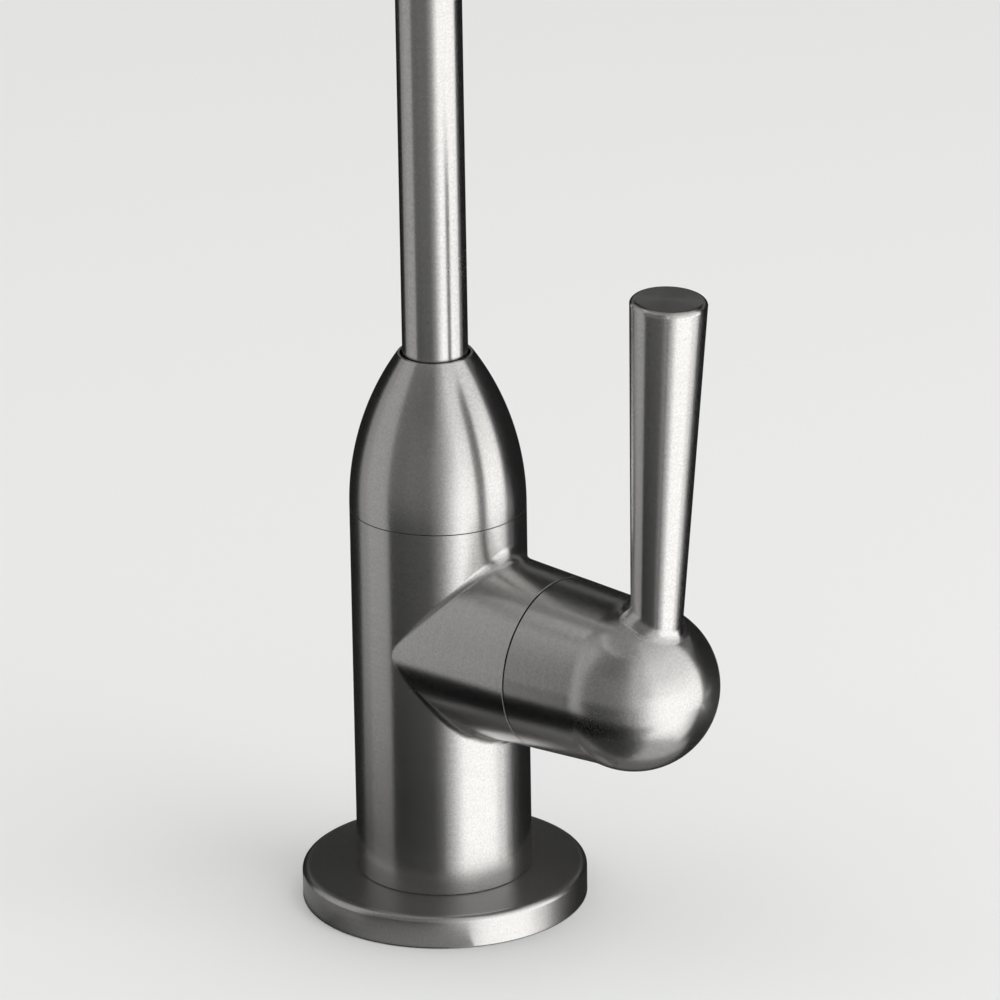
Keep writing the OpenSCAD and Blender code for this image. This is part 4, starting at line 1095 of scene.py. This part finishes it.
# Washers under the worktop
# Black rubber washer against the worktop, a stepped black plastic locator and a toothed steel lock washer.
# The fixing nut squeezes all three up.
washer_r, washer_top, washer_low = 16.0, -20.0, -23.0
locator_r, locator_step_r, locator_low, locator_step = 17.0, 14.0, -27.0, -24.6
nut_top, nut_low = -28.0, -35.0
turned_piece("under_deck_washer", "deck_washer", "clamp",
             ring_corners(deck_hole_r, washer_r, washer_low, washer_top, 0.3, 0.4), black_rubber)
black_plastic = surfaced("black plastic", (0.03, 0.03, 0.032), 0.45, bump=4.0e-6, metallic=0.0, specular=0.4,
                         along="Z", line_share=0.1, speckle_size=0.0005, colour_spread=0.3, cloud_size=0.008)
turned_piece("stepped_locator", "locator_washer", "clamp",
             [(deck_hole_r, locator_low, 0.2), (locator_r, locator_low, 0.4), (locator_r, locator_step, 0.4),
              (locator_step_r, locator_step, 0.3), (locator_step_r, washer_low, 0.4),
              (deck_hole_r, washer_low, 0.2)], black_plastic)
lock = grown("toothed_lock_washer", stamped, 30, Outline_Points=336, Radius=0.009, Tooth_Points=24,
             Tooth_Depth=0.0015, Middle_Hole=deck_hole_r / 1000, Pierced=False, Holes=3, Hole_Ring=0.001,
             Hole_Radius=0.0005, Thickness=0.001, Place=(0, 0, nut_top / 1000), Material=stainless)
stand_for(lock, "lock_washer", "clamp")

# Fixing nut
# Plain brass hexagon nut, 22 mm across flats, chamfered on both faces. It runs on the tail's thread.
nut_brass = surfaced("nut brass", brass, 0.3, bump=3.0e-6, along="Z", line_share=0.7, line_pitch=0.0002,
                     colour_spread=0.14, cloud_size=0.006)
nut_flats, nut_bore_r = 22.0, 5.8


def chamfered(across_flats, low, high, depth):
    """Rings of a hexagon bar between two heights, cut at both ends by a cone, as a lathe chamfers a nut."""
    flat = across_flats / 2
    corner = flat / math.cos(math.pi / 6)
    steps = [(flat + (corner - flat) * f, depth * f) for f in (0, 0.1, 0.2, 0.35, 0.5, 0.7, 1)]
    return [(r, low + up, True) for r, up in steps] + [(r, high - up, True) for r, up in reversed(steps)]


nut_rows = [(nut_bore_r, nut_top - 0.4, False), (nut_bore_r, nut_low + 0.4, False),
            (nut_bore_r + 0.4, nut_low, False), *chamfered(nut_flats, nut_low, nut_top, 0.8),
            (nut_bore_r + 0.4, nut_top, False)]
nut = faceted(nut_rows, nut_flats).finish("fixing_nut", nut_brass, creased=25)
stand_for(nut, "mounting_nut", "clamp")

# Inlet nut and sleeve
# Brass compression nut, 16 mm across flats with a round collar on top. It squeezes a tapered white acetal
# sleeve on the water tube against the tail's nose.
inlet_flats, inlet_bore_r, inlet_hole_r, inlet_collar_r = 16.0, 5.55, 3.275, 7.7
inlet_top, inlet_collar_low, inlet_floor, inlet_low = -46.0, -48.0, -58.5, -61.5
inlet_rows = [(inlet_bore_r, inlet_top - 0.3, False), (inlet_bore_r, inlet_floor, False),
              (inlet_hole_r, inlet_floor, False), (inlet_hole_r, inlet_low + 0.3, False),
              (inlet_hole_r + 0.3, inlet_low, False),
              *chamfered(inlet_flats, inlet_low, inlet_collar_low, 0.7),
              (inlet_collar_r, inlet_collar_low, False), (inlet_collar_r, inlet_top - 0.3, False),
              (inlet_collar_r - 0.3, inlet_top, False), (inlet_bore_r + 0.3, inlet_top, False)]
inlet = faceted(inlet_rows, inlet_flats).finish("compression_nut", nut_brass, creased=25)
stand_for(inlet, "inlet_nut", "tap")
sleeve_wide_r, sleeve_tip_r, taper_from = 5.1, 4.5, -55.8
turned_piece("squeezed_sleeve", "inlet_ferrule", "tap",
             [(inlet_hole_r, inlet_floor, 0.15), (sleeve_wide_r, inlet_floor, 0.2),
              (sleeve_wide_r, taper_from, 0.2), (sleeve_tip_r, tail_low, 0.15),
              (inlet_hole_r, tail_low, 0.1)], white_acetal, 96)
